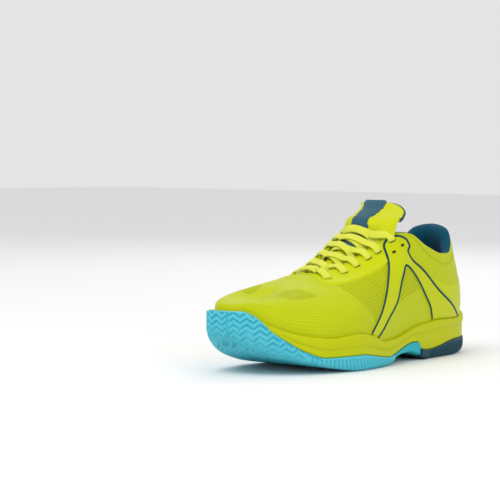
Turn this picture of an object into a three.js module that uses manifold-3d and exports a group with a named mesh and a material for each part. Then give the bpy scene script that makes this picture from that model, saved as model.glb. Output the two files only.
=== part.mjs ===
// Court shoe for the left foot, as an assembly of separate pieces.
// Millimetres. +X points to the toe, +Y to the little-toe side, +Z up.
// The origin is the middle of the rest plane, under the centre of the shoe's box.

import * as THREE from 'three';
import { mergeVertices } from 'three/addons/utils/BufferGeometryUtils.js';
import Module from 'manifold-3d';

const wasm = await Module();
wasm.setup();

// ---------------------------------------------------------------- driving sizes

const SOLE_LENGTH = 300;
const BALL_LATERAL = 59.5; // half widths of the sole, each side of its centre line
const BALL_MEDIAL = 50;
const WAIST_LATERAL = 44;
const WAIST_MEDIAL = 33;
const HEEL_LATERAL = 44;
const HEEL_MEDIAL = 42;

const TOE_SPRING = 27; // lift of the sole's underside at the tip of the toe
const HEEL_LIFT = 9;
const ARCH_LIFT = 6.5;
const RUBBER = 4; // tread rubber under the foot
const RUBBER_WALL = 3; // rubber that wraps up the side
const SHANK = 2.2;
const BUMPER_TOP = 49.5;
const BED_HEEL = 27; // thickness of sole under the foot, rubber and foam together
const BED_BALL = 13;

const TOE_BOX_HEIGHT = 57;
const THROAT_BASE_HEIGHT = 74;
const INSTEP_HEIGHT = 106;
const COLLAR_DIP_HEIGHT = 87;
const COLLAR_BACK_HEIGHT = 110;
const TONGUE_TIP_HEIGHT = 131.5;

const UPPER_WALL = 1.8; // knitted mesh with its backing
const SKIRT_TUCK = 4; // how far the upper turns in between the feather line and the footbed
const OVERLAY = 0.8; // moulded film pieces on the outside
const PIPING_WIDTH = 2.4;
const PIPING = 0.6;
const STIFFENER = 1.2; // toe puff and heel counter
const FOAM = 6; // collar padding
const LINING = 1;
const BOARD = 2;
const SOCKLINER = 4;
const TONGUE_PAD = 5.5;
const LACE_WIDTH = 7;
const LACE = 1.6;
const AGLET_RADIUS = 1.9;
const AGLET_LENGTH = 20;
const STRIP_WIDTH = 13; // webbing down the middle of the tongue
const STRIP = 1;
const GAP = 0.35; // clearance between neighbouring pieces
const BOND = 1; // adhesive line between the upper and the pieces laid on it

const TONGUE_HINGE = new THREE.Vector3(-0.08 * SOLE_LENGTH, 0, INSTEP_HEIGHT + 6);

// ---------------------------------------------------------------- colours

const FINISH = {
  lime: { color: 0xd2e11f, roughness: 0.55, metalness: 0 },
  limeFoam: { color: 0xcbdb22, roughness: 0.7, metalness: 0 },
  paleLace: { color: 0xe6ee62, roughness: 0.8, metalness: 0 },
  cyanRubber: { color: 0x5fd0dc, roughness: 0.6, metalness: 0 },
  cyanPlate: { color: 0x19b8c4, roughness: 0.35, metalness: 0 },
  navyRubber: { color: 0x24474f, roughness: 0.65, metalness: 0 },
  navyTrim: { color: 0x1f4a58, roughness: 0.5, metalness: 0 },
  petrolLining: { color: 0x0f6a86, roughness: 0.85, metalness: 0 },
  paleFoam: { color: 0xe8e4d0, roughness: 0.9, metalness: 0 },
  board: { color: 0xdedbd2, roughness: 0.9, metalness: 0 },
};

// ---------------------------------------------------------------- numbers and curves

const lerp = (a, b, t) => a + (b - a) * t;
const clamp = (value, low, high) => Math.min(high, Math.max(low, value));
const steps = (count) => Array.from({ length: count + 1 }, (_, i) => i / count);

/** A smooth curve through [t, value] pairs that never overshoots, held flat past both ends. */
function curve(points, flatEnds = false) {
  const t = points.map((p) => p[0]);
  const y = points.map((p) => p[1]);
  const last = t.length - 1;
  const rise = (i) => (y[i + 1] - y[i]) / (t[i + 1] - t[i]);
  const slopes = t.map((_, i) => {
    if (i === 0) return flatEnds ? 0 : rise(0);
    if (i === last) return flatEnds ? 0 : rise(last - 1);
    if (rise(i - 1) * rise(i) <= 0) return 0;
    const before = t[i] - t[i - 1];
    const after = t[i + 1] - t[i];
    const weightBefore = 2 * after + before;
    const weightAfter = after + 2 * before;
    return (weightBefore + weightAfter) / (weightBefore / rise(i - 1) + weightAfter / rise(i));
  });
  return (value) => {
    const x = clamp(value, t[0], t[last]);
    let i = 0;
    while (i < last - 1 && x > t[i + 1]) i += 1;
    const width = t[i + 1] - t[i];
    const f = (x - t[i]) / width;
    const f2 = f * f;
    const f3 = f2 * f;
    return (
      (2 * f3 - 3 * f2 + 1) * y[i] +
      (f3 - 2 * f2 + f) * width * slopes[i] +
      (3 * f2 - 2 * f3) * y[i + 1] +
      (f3 - f2) * width * slopes[i + 1]
    );
  };
}

// ---------------------------------------------------------------- sole outline

const HALF = SOLE_LENGTH / 2;

// Half widths along the shoe, from heel (-1) to toe (+1).
const widthLateral = curve([
  [-1, HEEL_LATERAL], [-0.73, HEEL_LATERAL], [-0.47, 42.5], [-0.2, WAIST_LATERAL],
  [0.07, 51], [0.33, 58], [0.57, BALL_LATERAL], [0.77, 56], [1, 47],
]);
const widthMedial = curve([
  [-1, HEEL_MEDIAL], [-0.73, HEEL_MEDIAL], [-0.47, 38], [-0.2, 33.5],
  [0, WAIST_MEDIAL], [0.2, 38], [0.4, 47], [0.6, BALL_MEDIAL], [0.8, 47.5], [1, 41],
]);
const centreLine = curve([[-1, 1], [-0.33, 1], [0.2, 0], [0.53, -2], [0.8, -5], [1, -8]]);

/** Every place round the shoe has one number: 0 at the toe tip, +1 or -1 at the heel,
 *  positive along the lateral side and negative along the medial side. */
function sideOf(u) {
  const wrapped = u > 1 ? u - 2 : u < -1 ? u + 2 : u;
  return { side: wrapped < 0 ? -1 : 1, s: Math.abs(wrapped) };
}

/** Sole outline at u, on the ground plane. */
function rim(u) {
  const { side, s } = sideOf(u);
  const along = Math.cos(Math.PI * s);
  const fullness = 0.66 + 0.06 * clamp(along + 0.5, 0, 1);
  const across = Math.sin(Math.PI * s);
  const grow = across > 1e-9 ? across ** fullness : 0;
  const width = (side > 0 ? widthLateral : widthMedial)(along);
  return new THREE.Vector2(HALF * along, centreLine(along) + side * width * grow);
}

/** Outward direction of the outline at u. */
function rimNormal(u) {
  const d = rim(u + 0.002).sub(rim(u - 0.002));
  return new THREE.Vector2(d.y, -d.x).normalize();
}

/** Point of the outline moved inwards by inset, at height z. */
function rimPoint(u, inset, z) {
  const p = rim(u).addScaledVector(rimNormal(u), -inset);
  return new THREE.Vector3(p.x, p.y, z);
}

// ---------------------------------------------------------------- heights along the sole

const underside = curve([
  [-1, HEEL_LIFT], [-0.93, 4], [-0.83, 0.5], [-0.73, 0], [-0.43, 0], [-0.35, 2.5],
  [-0.22, ARCH_LIFT], [-0.11, 6], [0, 1.5], [0.08, 0], [0.32, 0], [0.5, 3],
  [0.67, 8.5], [0.83, 15.5], [0.947, 22.5], [1, TOE_SPRING],
]);
const bedThickness = curve([
  [-1, BED_HEEL], [-0.73, BED_HEEL - 2], [-0.4, 19], [-0.13, 13], [0.1, 12.5], [0.4, BED_BALL], [1, BED_BALL - 1],
]);
const undersideAt = (x) => underside(x / HALF);
const bedAt = (x) => undersideAt(x) + bedThickness(x / HALF);

// Where the upper meets the sole.
const featherLateral = curve([
  [0, 50], [0.08, 49], [0.13, 45], [0.175, 38.5], [0.25, 30.5], [0.33, 27], [0.39, 29],
  [0.43, 27], [0.478, 20.5], [0.515, 21], [0.61, 29], [0.69, 31.5], [0.79, 30.5], [0.9, 34.5], [1, 37.5],
], true);
const featherMedial = curve([
  [0, 50], [0.1, 49], [0.2, 44.5], [0.3, 39], [0.4, 34], [0.47, 29], [0.52, 27],
  [0.61, 30], [0.7, 33], [0.8, 32.5], [0.9, 35.5], [1, 37.5],
], true);
const featherInset = curve([[0, 7], [0.17, 6.2], [0.28, 4.6], [0.4, 4], [0.9, 3.6], [1, 3.2]], true);

function featherHeight(u) {
  const { side, s } = sideOf(u);
  return (side > 0 ? featherLateral : featherMedial)(s);
}

// Top of the rubber and of the shank plate on the side wall.
const FOREFOOT_END = 0.51;
const SHANK_START = 0.513;
const SHANK_END = 0.612;
const HEEL_START = 0.615;
const coverLateral = curve([
  [0, BUMPER_TOP], [0.085, BUMPER_TOP], [0.12, 47], [0.15, 41.5], [0.178, 33.5], [0.22, 25],
  [0.255, 18], [0.31, 12], [0.4, 12], [0.455, 9], [0.495, 7], [0.515, 8.5],
  [0.556, 13.5], [0.583, 15.7], [0.602, 15.3], [0.616, 9], [0.645, 7.5], [0.69, 9.2], [0.735, 12],
  [0.78, 13], [0.86, 13], [1, 15.5],
], true);
const coverMedial = curve([
  [0, BUMPER_TOP], [0.1, 48.5], [0.2, 44], [0.3, 38.5], [0.4, 33], [0.455, 27], [0.485, 18],
  [0.5, 9], [0.515, 9], [0.556, 13], [0.593, 14.5], [0.616, 9], [0.645, 7.5], [0.69, 9.2],
  [0.76, 12.5], [0.86, 13], [1, 15.5],
], true);

function coverTop(u) {
  const { side, s } = sideOf(u);
  const height = (side > 0 ? coverLateral : coverMedial)(s);
  return Math.max(height, undersideAt(rim(u).x) + RUBBER + GAP);
}

// ---------------------------------------------------------------- surface of the upper

// Top edge of the upper: vamp ridge, throat edge, then collar edge.
const edgeX = curve([
  [0, 0.653], [0.2, 0.533], [0.3, 0.333], [0.36, 0.24], [0.46, 0.067], [0.58, -0.16],
  [0.66, -0.307], [0.72, -0.453], [0.8, -0.647], [0.9, -0.78], [1, -0.84],
]);
const edgeYLateral = curve([
  [0, -5], [0.2, -4], [0.3, -2], [0.303, -1.1], [0.33, 7], [0.37, 12], [0.46, 17], [0.56, 23], [0.62, 28],
  [0.68, 33], [0.75, 34.5], [0.82, 32], [0.9, 24], [0.96, 12], [1, 0],
]);
const edgeYMedial = curve([
  [0, -5], [0.2, -4], [0.3, -2], [0.303, -2.9], [0.33, -6], [0.37, -9], [0.46, -12], [0.56, -17], [0.62, -22],
  [0.68, -29], [0.75, -32], [0.82, -30], [0.9, -22.5], [0.96, -11], [1, 0],
]);
const edgeZLateral = curve([
  [0, TOE_BOX_HEIGHT], [0.1, 60], [0.2, 66], [0.3, THROAT_BASE_HEIGHT], [0.36, 77], [0.46, 86],
  [0.56, 99], [0.62, INSTEP_HEIGHT], [0.66, 105], [0.72, 94], [0.78, COLLAR_DIP_HEIGHT],
  [0.82, COLLAR_DIP_HEIGHT], [0.88, 96], [0.94, 107], [1, COLLAR_BACK_HEIGHT],
], true);
const edgeZMedial = curve([
  [0, TOE_BOX_HEIGHT], [0.1, 60], [0.2, 66], [0.3, THROAT_BASE_HEIGHT], [0.36, 79], [0.46, 91],
  [0.56, 104], [0.62, INSTEP_HEIGHT + 2], [0.66, 105], [0.72, 94], [0.78, COLLAR_DIP_HEIGHT],
  [0.82, COLLAR_DIP_HEIGHT], [0.88, 96], [0.94, 107], [1, COLLAR_BACK_HEIGHT],
], true);

// How far and how steeply the wall leaves the feather line and reaches the top edge.
const riseLow = curve([[0, 10], [0.1, 14], [0.2, 18], [0.4, 22], [0.6, 30], [0.8, 26], [1, 24]], true);
const flareLow = curve([[0, 0.05], [0.2, 0.18], [0.4, 0.12], [0.6, 0.05], [0.8, 0.12], [1, 0.08]], true);
const reachHigh = curve([[0, 26], [0.2, 34], [0.5, 34], [0.58, 32], [0.66, 20], [0.8, 18], [1, 20]], true);
const fallHigh = curve([
  [0, 0.36], [0.1, 0.3], [0.2, 0.15], [0.28, 0.12], [0.35, 0.45], [0.5, 0.75], [0.58, 1.1],
  [0.66, 2.5], [0.8, 4.5], [1, 5],
], true);

const VAMP_END = 0.3; // the vamp's ridge splits into the two throat edges here

/** Point of the upper's outer face: u round the shoe, v from the feather line (0) to the top edge (1). */
function skin(u, v) {
  const { side, s } = sideOf(u);
  const out = rimNormal(u);
  const foot = rimPoint(u, featherInset(s), featherHeight(u));
  const top = new THREE.Vector3(
    edgeX(s) * HALF,
    (side > 0 ? edgeYLateral : edgeYMedial)(s),
    (side > 0 ? edgeZLateral : edgeZMedial)(s),
  );
  const low = foot.clone().add(
    new THREE.Vector3(out.x * flareLow(s), out.y * flareLow(s), 1).multiplyScalar(riseLow(s)),
  );
  const high = top.clone().addScaledVector(
    new THREE.Vector3(out.x, out.y, -fallHigh(s)).normalize(), reachHigh(s),
  );
  const w = 1 - v;
  return foot.multiplyScalar(w ** 3)
    .addScaledVector(low, 3 * w * w * v)
    .addScaledVector(high, 3 * w * v * v)
    .addScaledVector(top, v ** 3);
}

/** Outward unit normal of the upper's outer face. */
function skinNormal(u, v) {
  const alongU = skin(u + 0.003, v).sub(skin(u - 0.003, v));
  const alongV = skin(u, v + 0.003).sub(skin(u, v - 0.003));
  const normal = alongU.cross(alongV).normalize();
  // On the vamp's ridge both sides share one normal.
  if (v > 0.999 && sideOf(u).s <= VAMP_END) normal.y = 0;
  return normal.normalize();
}

/** The upper's face moved outwards by lift. Below the feather line (v from 0 to -1) it is the
 *  skirt that turns in under the foot. */
function skinPoint(u, v, lift) {
  if (v >= 0) return skin(u, v).addScaledVector(skinNormal(u, v), lift);
  const tuck = -v;
  const foot = featherHeight(u);
  const floor = bedAt(rim(u).x) + GAP;
  const inset = featherInset(sideOf(u).s) + SKIRT_TUCK * tuck - lift;
  return rimPoint(u, inset, lerp(foot, floor, tuck));
}

// ---------------------------------------------------------------- building solids

/** Sheet of some thickness. Each patch is a grid (rows of columns) of parameter points; outer and
 *  inner turn such a point into the two faces. Patches that touch are joined, and the open
 *  border is closed by a wall. */
function thickSheet(patches, outer, inner) {
  const positions = [];
  const indexOf = new Map();
  const vertex = (param) => {
    const p = outer(...param);
    const key = p.toArray().map((n) => Math.round(n * 200)).join();
    if (!indexOf.has(key)) {
      indexOf.set(key, positions.length / 2);
      positions.push(p, inner(...param));
    }
    return indexOf.get(key);
  };
  const triangles = [];
  for (const grid of patches) {
    const ids = grid.map((row) => row.map(vertex));
    for (let j = 0; j + 1 < ids.length; j += 1) {
      for (let i = 0; i + 1 < ids[j].length; i += 1) {
        const [a, b, c, d] = [ids[j][i], ids[j][i + 1], ids[j + 1][i + 1], ids[j + 1][i]];
        triangles.push([a, b, c], [a, c, d]);
      }
    }
  }
  const faces = triangles.filter(([a, b, c]) => a !== b && b !== c && a !== c);
  const edges = new Set();
  for (const [a, b, c] of faces) {
    for (const [from, to] of [[a, b], [b, c], [c, a]]) edges.add(`${from},${to}`);
  }
  const index = [];
  for (const [a, b, c] of faces) {
    index.push(2 * a, 2 * b, 2 * c, 2 * a + 1, 2 * c + 1, 2 * b + 1);
  }
  for (const edge of edges) {
    const [a, b] = edge.split(',').map(Number);
    if (edges.has(`${b},${a}`)) continue;
    index.push(2 * b, 2 * a, 2 * a + 1, 2 * b, 2 * a + 1, 2 * b + 1);
  }
  const geometry = new THREE.BufferGeometry();
  geometry.setAttribute('position', new THREE.Float32BufferAttribute(positions.flatMap((p) => p.toArray()), 3));
  geometry.setIndex(index);
  return geometry;
}

/** Grid of parameter points: rows of v, columns of u. */
const grid = (columns, rows) => rows.map((v) => columns.map((u) => [u, v]));

/** Flat band swept along stations of { at, across }, with the band's width along across. */
function band(stations, width, thickness) {
  const last = stations.length - 1;
  const positions = [];
  stations.forEach(({ at, across }, i) => {
    const ahead = stations[Math.min(i + 1, last)].at.clone();
    const along = ahead.sub(stations[Math.max(i - 1, 0)].at).normalize();
    const side = across.clone().addScaledVector(along, -across.dot(along)).normalize();
    const up = along.clone().cross(side);
    for (const [w, h] of [[-1, -1], [1, -1], [1, 1], [-1, 1]]) {
      const corner = at.clone().addScaledVector(side, (w * width) / 2).addScaledVector(up, (h * thickness) / 2);
      positions.push(...corner.toArray());
    }
  });
  const index = [0, 2, 1, 0, 3, 2];
  for (let i = 0; i < last; i += 1) {
    for (let k = 0; k < 4; k += 1) {
      const [a, b] = [4 * i + k, 4 * i + ((k + 1) % 4)];
      index.push(a, b, b + 4, a, b + 4, a + 4);
    }
  }
  const end = 4 * last;
  index.push(end, end + 1, end + 2, end, end + 2, end + 3);
  const geometry = new THREE.BufferGeometry();
  geometry.setAttribute('position', new THREE.Float32BufferAttribute(positions, 3));
  geometry.setIndex(index);
  return geometry;
}

function toSolid(geometry) {
  const bare = geometry.clone();
  for (const name of Object.keys(bare.attributes)) {
    if (name !== 'position') bare.deleteAttribute(name);
  }
  const merged = mergeVertices(bare, 1e-4);
  return new wasm.Manifold(new wasm.Mesh({
    numProp: 3,
    vertProperties: new Float32Array(merged.attributes.position.array),
    triVerts: new Uint32Array(merged.index.array),
  }));
}

function cut(geometry, tools) {
  const solid = tools.reduce((body, tool) => body.subtract(toSolid(tool)), toSolid(geometry));
  const mesh = solid.getMesh();
  const result = new THREE.BufferGeometry();
  result.setAttribute('position', new THREE.Float32BufferAttribute(Array.from(mesh.vertProperties), 3));
  result.setIndex(Array.from(mesh.triVerts));
  return result;
}

const shoe = new THREE.Group();

function piece(name, geometry, finish) {
  const mesh = new THREE.Mesh(geometry, new THREE.MeshStandardMaterial(FINISH[finish]));
  mesh.name = name;
  shoe.add(mesh);
}

// ---------------------------------------------------------------- sole

const SPINE_INSET = 14; // the sole's faces close on a spine that stops this far from each end
const FLAT_INSET = 9; // the underside starts to turn up this far from the rim

/** Point on a sole face: reach 0 is on the spine and 1 is at the given inset from the rim. */
function floorPoint(u, reach, inset, heightAt) {
  const { s } = sideOf(u);
  const along = Math.cos(Math.PI * s) * (1 - SPINE_INSET / HALF);
  const spine = new THREE.Vector3(along * HALF, centreLine(along), 0);
  const point = spine.lerp(rimPoint(u, inset, 0), reach);
  point.z = heightAt(point.x);
  return point;
}

const SOLE_ROWS = [0, 1, 2, 3]; // spine, edge of the flat underside, corner, top of the wall
const range = (from, to, count) => steps(count).map((t) => lerp(from, to, t));
const mirrored = (list) => [...list].reverse().map((s) => -s);

// Places round one side where the pieces have their edges, so that neighbours keep their gap.
const VAMP_STATIONS = range(0, VAMP_END, 10);
const THROAT_STATIONS = range(VAMP_END, FOREFOOT_END, 8);
const SHANK_STATIONS = range(SHANK_START, SHANK_END, 4);
const HEEL_STATIONS = range(HEEL_START, 1, 15);
const FOREFOOT_STATIONS = [...VAMP_STATIONS, ...THROAT_STATIONS.slice(1)];
const ALL_STATIONS = [...FOREFOOT_STATIONS, ...SHANK_STATIONS, ...HEEL_STATIONS];

/** Columns that run from the medial side round the toe to the lateral side. */
const roundToe = (list) => [...mirrored(list.slice(1)), ...list];

/** Columns that run from the lateral side round the heel to the medial side. */
const roundHeel = (list) => [...list, ...mirrored(list.slice(0, -1)).map((u) => u + 2)];

/** Tread rubber: across the underside, round the corner and up the side to the cover line. */
function treadOuter(u, row) {
  const floor = (x) => undersideAt(x);
  if (row <= 1) return floorPoint(u, row, FLAT_INSET, floor);
  return row === 2 ? rimPoint(u, 0.7, undersideAt(rim(u).x) + 1.5) : rimPoint(u, 0, coverTop(u));
}

/** Face of the rubber that the foam sits on, moved away from the rubber by clear. */
function treadInner(u, row, clear = 0) {
  const floor = (x) => undersideAt(x) + RUBBER + clear;
  if (row <= 1) return floorPoint(u, row, FLAT_INSET, floor);
  const low = undersideAt(rim(u).x) + RUBBER + clear;
  return rimPoint(u, RUBBER_WALL + clear, lerp(low, coverTop(u) + clear, (row - 1) / 2));
}

const tread = (columns) => thickSheet([grid(columns, SOLE_ROWS)], treadOuter, (u, row) => treadInner(u, row));

/** Springy plate under the arch, with a flange that shows on each side wall. */
function shankPlate() {
  const sink = 0.8;
  const outer = (u, row) => {
    const floor = (x) => undersideAt(x) + sink;
    if (row <= 1) return floorPoint(u, row, FLAT_INSET, floor);
    const low = undersideAt(rim(u).x) + sink + 1;
    return rimPoint(u, row === 2 ? 1.8 : sink, lerp(low, coverTop(u) - GAP, row - 2));
  };
  const inner = (u, row) => {
    const floor = (x) => undersideAt(x) + sink + SHANK;
    if (row <= 1) return floorPoint(u, row, FLAT_INSET, floor);
    const low = undersideAt(rim(u).x) + sink + SHANK;
    return rimPoint(u, RUBBER_WALL - 0.4, lerp(low, coverTop(u) - GAP, (row - 1) / 2));
  };
  const patches = [SHANK_STATIONS, mirrored(SHANK_STATIONS)];
  return thickSheet(patches.map((columns) => grid(columns, SOLE_ROWS)), outer, inner);
}

/** Inset of a layer on the footbed that fits inside the upper's skirt with some margin. */
const boardInset = (u, margin) => featherInset(sideOf(u).s) + SKIRT_TUCK + UPPER_WALL + margin;

const MIDSOLE_ROWS = [0, 1, 2, 3, 4, 5, 6];
const WALL_BULGE = 0.8;

/** Foam unit. Below the cover line its wall stands in behind the rubber, above it the wall is flush. */
function midsoleOuter(u, row) {
  const lip = featherHeight(u);
  const ledge = Math.min(coverTop(u) + GAP, lip - 0.2);
  if (row <= 3) {
    const point = treadInner(u, row, GAP);
    point.z = Math.min(point.z, ledge - (3 - row) * 0.1);
    return point;
  }
  const flush = clamp((lip - coverTop(u) - 2) / 3, 0, 1);
  const inset = lerp(RUBBER_WALL + GAP, 0, flush);
  if (row === 4) return rimPoint(u, inset, ledge + 0.05);
  if (row === 5) return rimPoint(u, inset - WALL_BULGE * flush, lerp(ledge, lip, 0.5));
  return rimPoint(u, inset + 0.3 * flush, lip);
}

function midsoleInner(u, row) {
  if (row <= 1) return floorPoint(u, row, boardInset(u, GAP), bedAt);
  const tuck = 1 - (row - 2) / 4;
  const inset = featherInset(sideOf(u).s) + SKIRT_TUCK * tuck - GAP;
  return rimPoint(u, inset, lerp(featherHeight(u), bedAt(rim(u).x), tuck));
}

function soleUnit() {
  piece('outsole_forefoot', tread(roundToe(FOREFOOT_STATIONS)), 'cyanRubber');
  piece('outsole_heel', tread(roundHeel(HEEL_STATIONS)), 'navyRubber');
  piece('midfoot_shank', shankPlate(), 'cyanPlate');
  piece('midsole', thickSheet([grid(roundToe(ALL_STATIONS), MIDSOLE_ROWS)], midsoleOuter, midsoleInner), 'limeFoam');
}

/** Flat layer inside the shoe that follows the footbed: its underside is raise above the bed. */
function bedLayer(raise, thickness, margin) {
  const face = (height) => (u, row) => floorPoint(u, row, boardInset(u, margin), (x) => bedAt(x) + height);
  return thickSheet([grid(roundToe(ALL_STATIONS), [0, 1])], face(raise), face(raise + thickness));
}

function footbed() {
  piece('insole_board', bedLayer(GAP, BOARD, GAP), 'board');
  piece('sockliner', bedLayer(GAP + BOARD + GAP, SOCKLINER, 3 * GAP), 'petrolLining');
}

// ---------------------------------------------------------------- eyelets

// [s, v] on each side, from the toe end up. The last two stay empty.
const LACED_EYELETS = [
  [0.327, 0.86], [0.391, 0.9], [0.441, 0.913], [0.49, 0.925], [0.528, 0.926], [0.586, 0.944],
];
const SPARE_EYELETS = [[0.572, 0.845], [0.611, 0.849]];
const SLOT_WIDTH = 2 * LACE + 1;
const SLOT_LENGTH = LACE_WIDTH + 2.5;

/** Directions at a place on the upper: along the shoe towards the heel, up to the top edge, out. */
function skinAxes(u, v) {
  const out = skinNormal(u, v);
  const heelward = sideOf(u).side;
  const up = skin(u, v + 0.004).sub(skin(u, v - 0.004)).normalize();
  const along = skin(u + 0.004 * heelward, v).sub(skin(u - 0.004 * heelward, v)).normalize();
  along.addScaledVector(up, -along.dot(up)).normalize();
  return { out, up, along };
}

function slotTool(u, v) {
  const { out, up, along } = skinAxes(u, v);
  const turn = new THREE.Matrix4().makeBasis(along, up, along.clone().cross(up));
  const box = new THREE.BoxGeometry(SLOT_LENGTH, SLOT_WIDTH, 14);
  box.applyMatrix4(turn.setPosition(skin(u, v)));
  return box;
}

const slots = (side, eyelets) => eyelets.map(([s, v]) => slotTool(side * s, v));

// ---------------------------------------------------------------- upper

const SEAM = 0.0012; // half a seam's gap, as a share of the way round
const SKIRT_ROWS = [-1, 0];
const WALL_ROWS = [0.14, 0.3, 0.46, 0.62, 0.77, 0.9, 1];
const SIDES = [['lateral', 1], ['medial', -1]];

/** Columns on one side between two places, always in the order that faces outwards. */
const sideColumns = (side, from, to, count) => {
  const columns = range(from, to, count).map((s) => side * s);
  return side > 0 ? columns : columns.reverse();
};

const layer = (patches, outerLift, innerLift) =>
  thickSheet(patches, (u, v) => skinPoint(u, v, outerLift), (u, v) => skinPoint(u, v, innerLift));

function upperShells() {
  const rows = [...SKIRT_ROWS, ...WALL_ROWS];
  const vampColumns = [...VAMP_STATIONS.slice(0, -1), VAMP_END - SEAM];
  piece('vamp', layer([grid(roundToe(vampColumns), rows)], 0, -UPPER_WALL), 'lime');
  const middle = [...THROAT_STATIONS.slice(1), ...SHANK_STATIONS, ...HEEL_STATIONS.slice(0, -1)];
  const quarterColumns = [VAMP_END + SEAM, ...middle, 1 - SEAM];
  for (const [name, side] of SIDES) {
    const columns = side > 0 ? quarterColumns : mirrored(quarterColumns);
    const shell = layer([grid(columns, rows)], 0, -UPPER_WALL);
    const holes = slots(side, [...LACED_EYELETS, ...SPARE_EYELETS]);
    piece(`quarter_${name}`, cut(shell, holes), 'lime');
  }
}

// ---------------------------------------------------------------- overlays

const OVERLAY_LOW = BOND;
const OVERLAY_HIGH = BOND + OVERLAY;

// Borders of the A-shaped side frame, as s for each v.
const frameFront = curve([
  [0, 0.429], [0.356, 0.466], [0.613, 0.5], [0.806, 0.535], [0.96, 0.554], [1, 0.565],
]);
const frameBack = curve([
  [0, 0.822], [0.142, 0.772], [0.348, 0.699], [0.538, 0.661], [0.687, 0.63], [0.76, 0.627],
  [0.828, 0.645], [0.9, 0.643], [1, 0.625],
]);
const ARCH_APEX = 0.63;
const ARCH_MIDDLE = 0.592;
const archFront = curve([[0, 0.458], [0.215, 0.494], [0.367, 0.532], [0.507, 0.555], [0.6, 0.578], [0.63, ARCH_MIDDLE]]);
const archBack = curve([[0, 0.66], [0.136, 0.653], [0.256, 0.64], [0.426, 0.624], [0.588, 0.602], [0.63, ARCH_MIDDLE]]);

/** Patch between two borders that change with v. */
function bordered(side, from, to, columns, rows) {
  return rows.map((v) => sideColumns(side, from(v), to(v), columns).map((u) => [u, v]));
}

function sideFrames() {
  const rows = [0.02, 0.14, 0.3, 0.46, 0.55, ARCH_APEX, 0.7, 0.77, 0.84, 0.9, 0.97];
  const front = (v) => (v < ARCH_APEX ? archFront(v) : ARCH_MIDDLE);
  const back = (v) => (v < ARCH_APEX ? archBack(v) : ARCH_MIDDLE);
  for (const [name, side] of SIDES) {
    const legs = [bordered(side, frameFront, front, 3, rows), bordered(side, back, frameBack, 6, rows)];
    const holes = slots(side, [LACED_EYELETS.at(-1), ...SPARE_EYELETS]);
    piece(`side_frame_${name}`, cut(layer(legs, OVERLAY_HIGH, OVERLAY_LOW), holes), 'lime');
  }
}

function eyestays() {
  const rows = [0.77, 0.84, 0.9, 0.96];
  const end = (v) => frameFront(v) - 2 * SEAM;
  for (const [name, side] of SIDES) {
    const stay = layer([bordered(side, () => VAMP_END + 0.006, end, 26, rows)], OVERLAY_HIGH, OVERLAY_LOW);
    piece(`eyestay_${name}`, cut(stay, slots(side, LACED_EYELETS.slice(0, -1))), 'lime');
  }
}

/** Dark raised line on the side frame, along a path of [s, v] points. */
function piping(path) {
  const lift = OVERLAY_HIGH + GAP + PIPING / 2;
  const stations = path.map(([s, v], i) => {
    const ahead = path[Math.min(i + 1, path.length - 1)];
    const behind = path[Math.max(i - 1, 0)];
    const along = skin(...ahead).sub(skin(...behind));
    const out = skinNormal(s, v);
    return { at: skinPoint(s, v, lift), across: out.clone().cross(along).normalize() };
  });
  return band(stations, PIPING_WIDTH, PIPING);
}

function framePiping() {
  const inward = 0.005;
  const front = range(0.03, 0.97, 16).map((v) => [frameFront(v) + inward, v]);
  const crest = [[0.604, 0.955], [0.616, 0.95], [0.627, 0.935]];
  const back = range(0.9, 0.03, 18).map((v) => [frameBack(v) - inward, v]);
  const archUp = range(0.03, 0.6, 10).map((v) => [archFront(v) - inward, v]);
  const archDown = range(0.6, 0.03, 10).map((v) => [archBack(v) + inward, v]);
  piece('frame_piping_front', piping(front), 'navyTrim');
  piece('frame_piping_back', piping([...crest, ...back]), 'navyTrim');
  piece('frame_piping_arch', piping([...archUp, [ARCH_MIDDLE, ARCH_APEX + 0.02], ...archDown]), 'navyTrim');
}

function endOverlays() {
  const toeRows = [0.03, 0.14, 0.3, 0.46];
  piece('toe_film', layer([grid(range(-0.28, 0.28, 28), toeRows)], OVERLAY_HIGH, OVERLAY_LOW), 'lime');
  const heelRows = [0.02, 0.14, 0.3, 0.46];
  const heel = heelRows.map((v) => {
    const start = frameBack(v) + 2 * SEAM;
    return range(start, 2 - start, 32).map((u) => [u, v]);
  });
  piece('heel_overlay', layer([heel], OVERLAY_HIGH, OVERLAY_LOW), 'lime');
  const tab = grid(range(0.925, 1.075, 8), [0.54, 0.62, 0.77, 0.9]);
  piece('heel_tab', layer([tab], OVERLAY_HIGH, OVERLAY_LOW), 'lime');
}

// ---------------------------------------------------------------- inside the upper

function innerLayers() {
  const behindWall = -UPPER_WALL - GAP;
  const stiffRows = [0.03, 0.14, 0.3, 0.46];
  const puff = [grid(range(-0.21, 0.21, 14), stiffRows)];
  piece('toe_puff', layer(puff, behindWall, behindWall - STIFFENER), 'board');
  const counter = [grid(roundHeel(HEEL_STATIONS.filter((_, i) => i % 2 === 1 && i > 4)), stiffRows)];
  piece('heel_counter', layer(counter, behindWall, behindWall - STIFFENER), 'board');
  const collar = roundHeel(HEEL_STATIONS.filter((_, i) => i % 2 === 1));
  const foam = [grid(collar, [0.52, 0.62, 0.77, 0.9, 0.97])];
  piece('collar_foam', layer(foam, behindWall, behindWall - FOAM), 'paleFoam');
  const behindFoam = behindWall - FOAM - GAP;
  const lining = [grid(collar, [0.36, 0.52, 0.62, 0.77, 0.9, 0.97])];
  piece('collar_lining', layer(lining, behindFoam, behindFoam - LINING), 'petrolLining');
}

// ---------------------------------------------------------------- tongue

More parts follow.
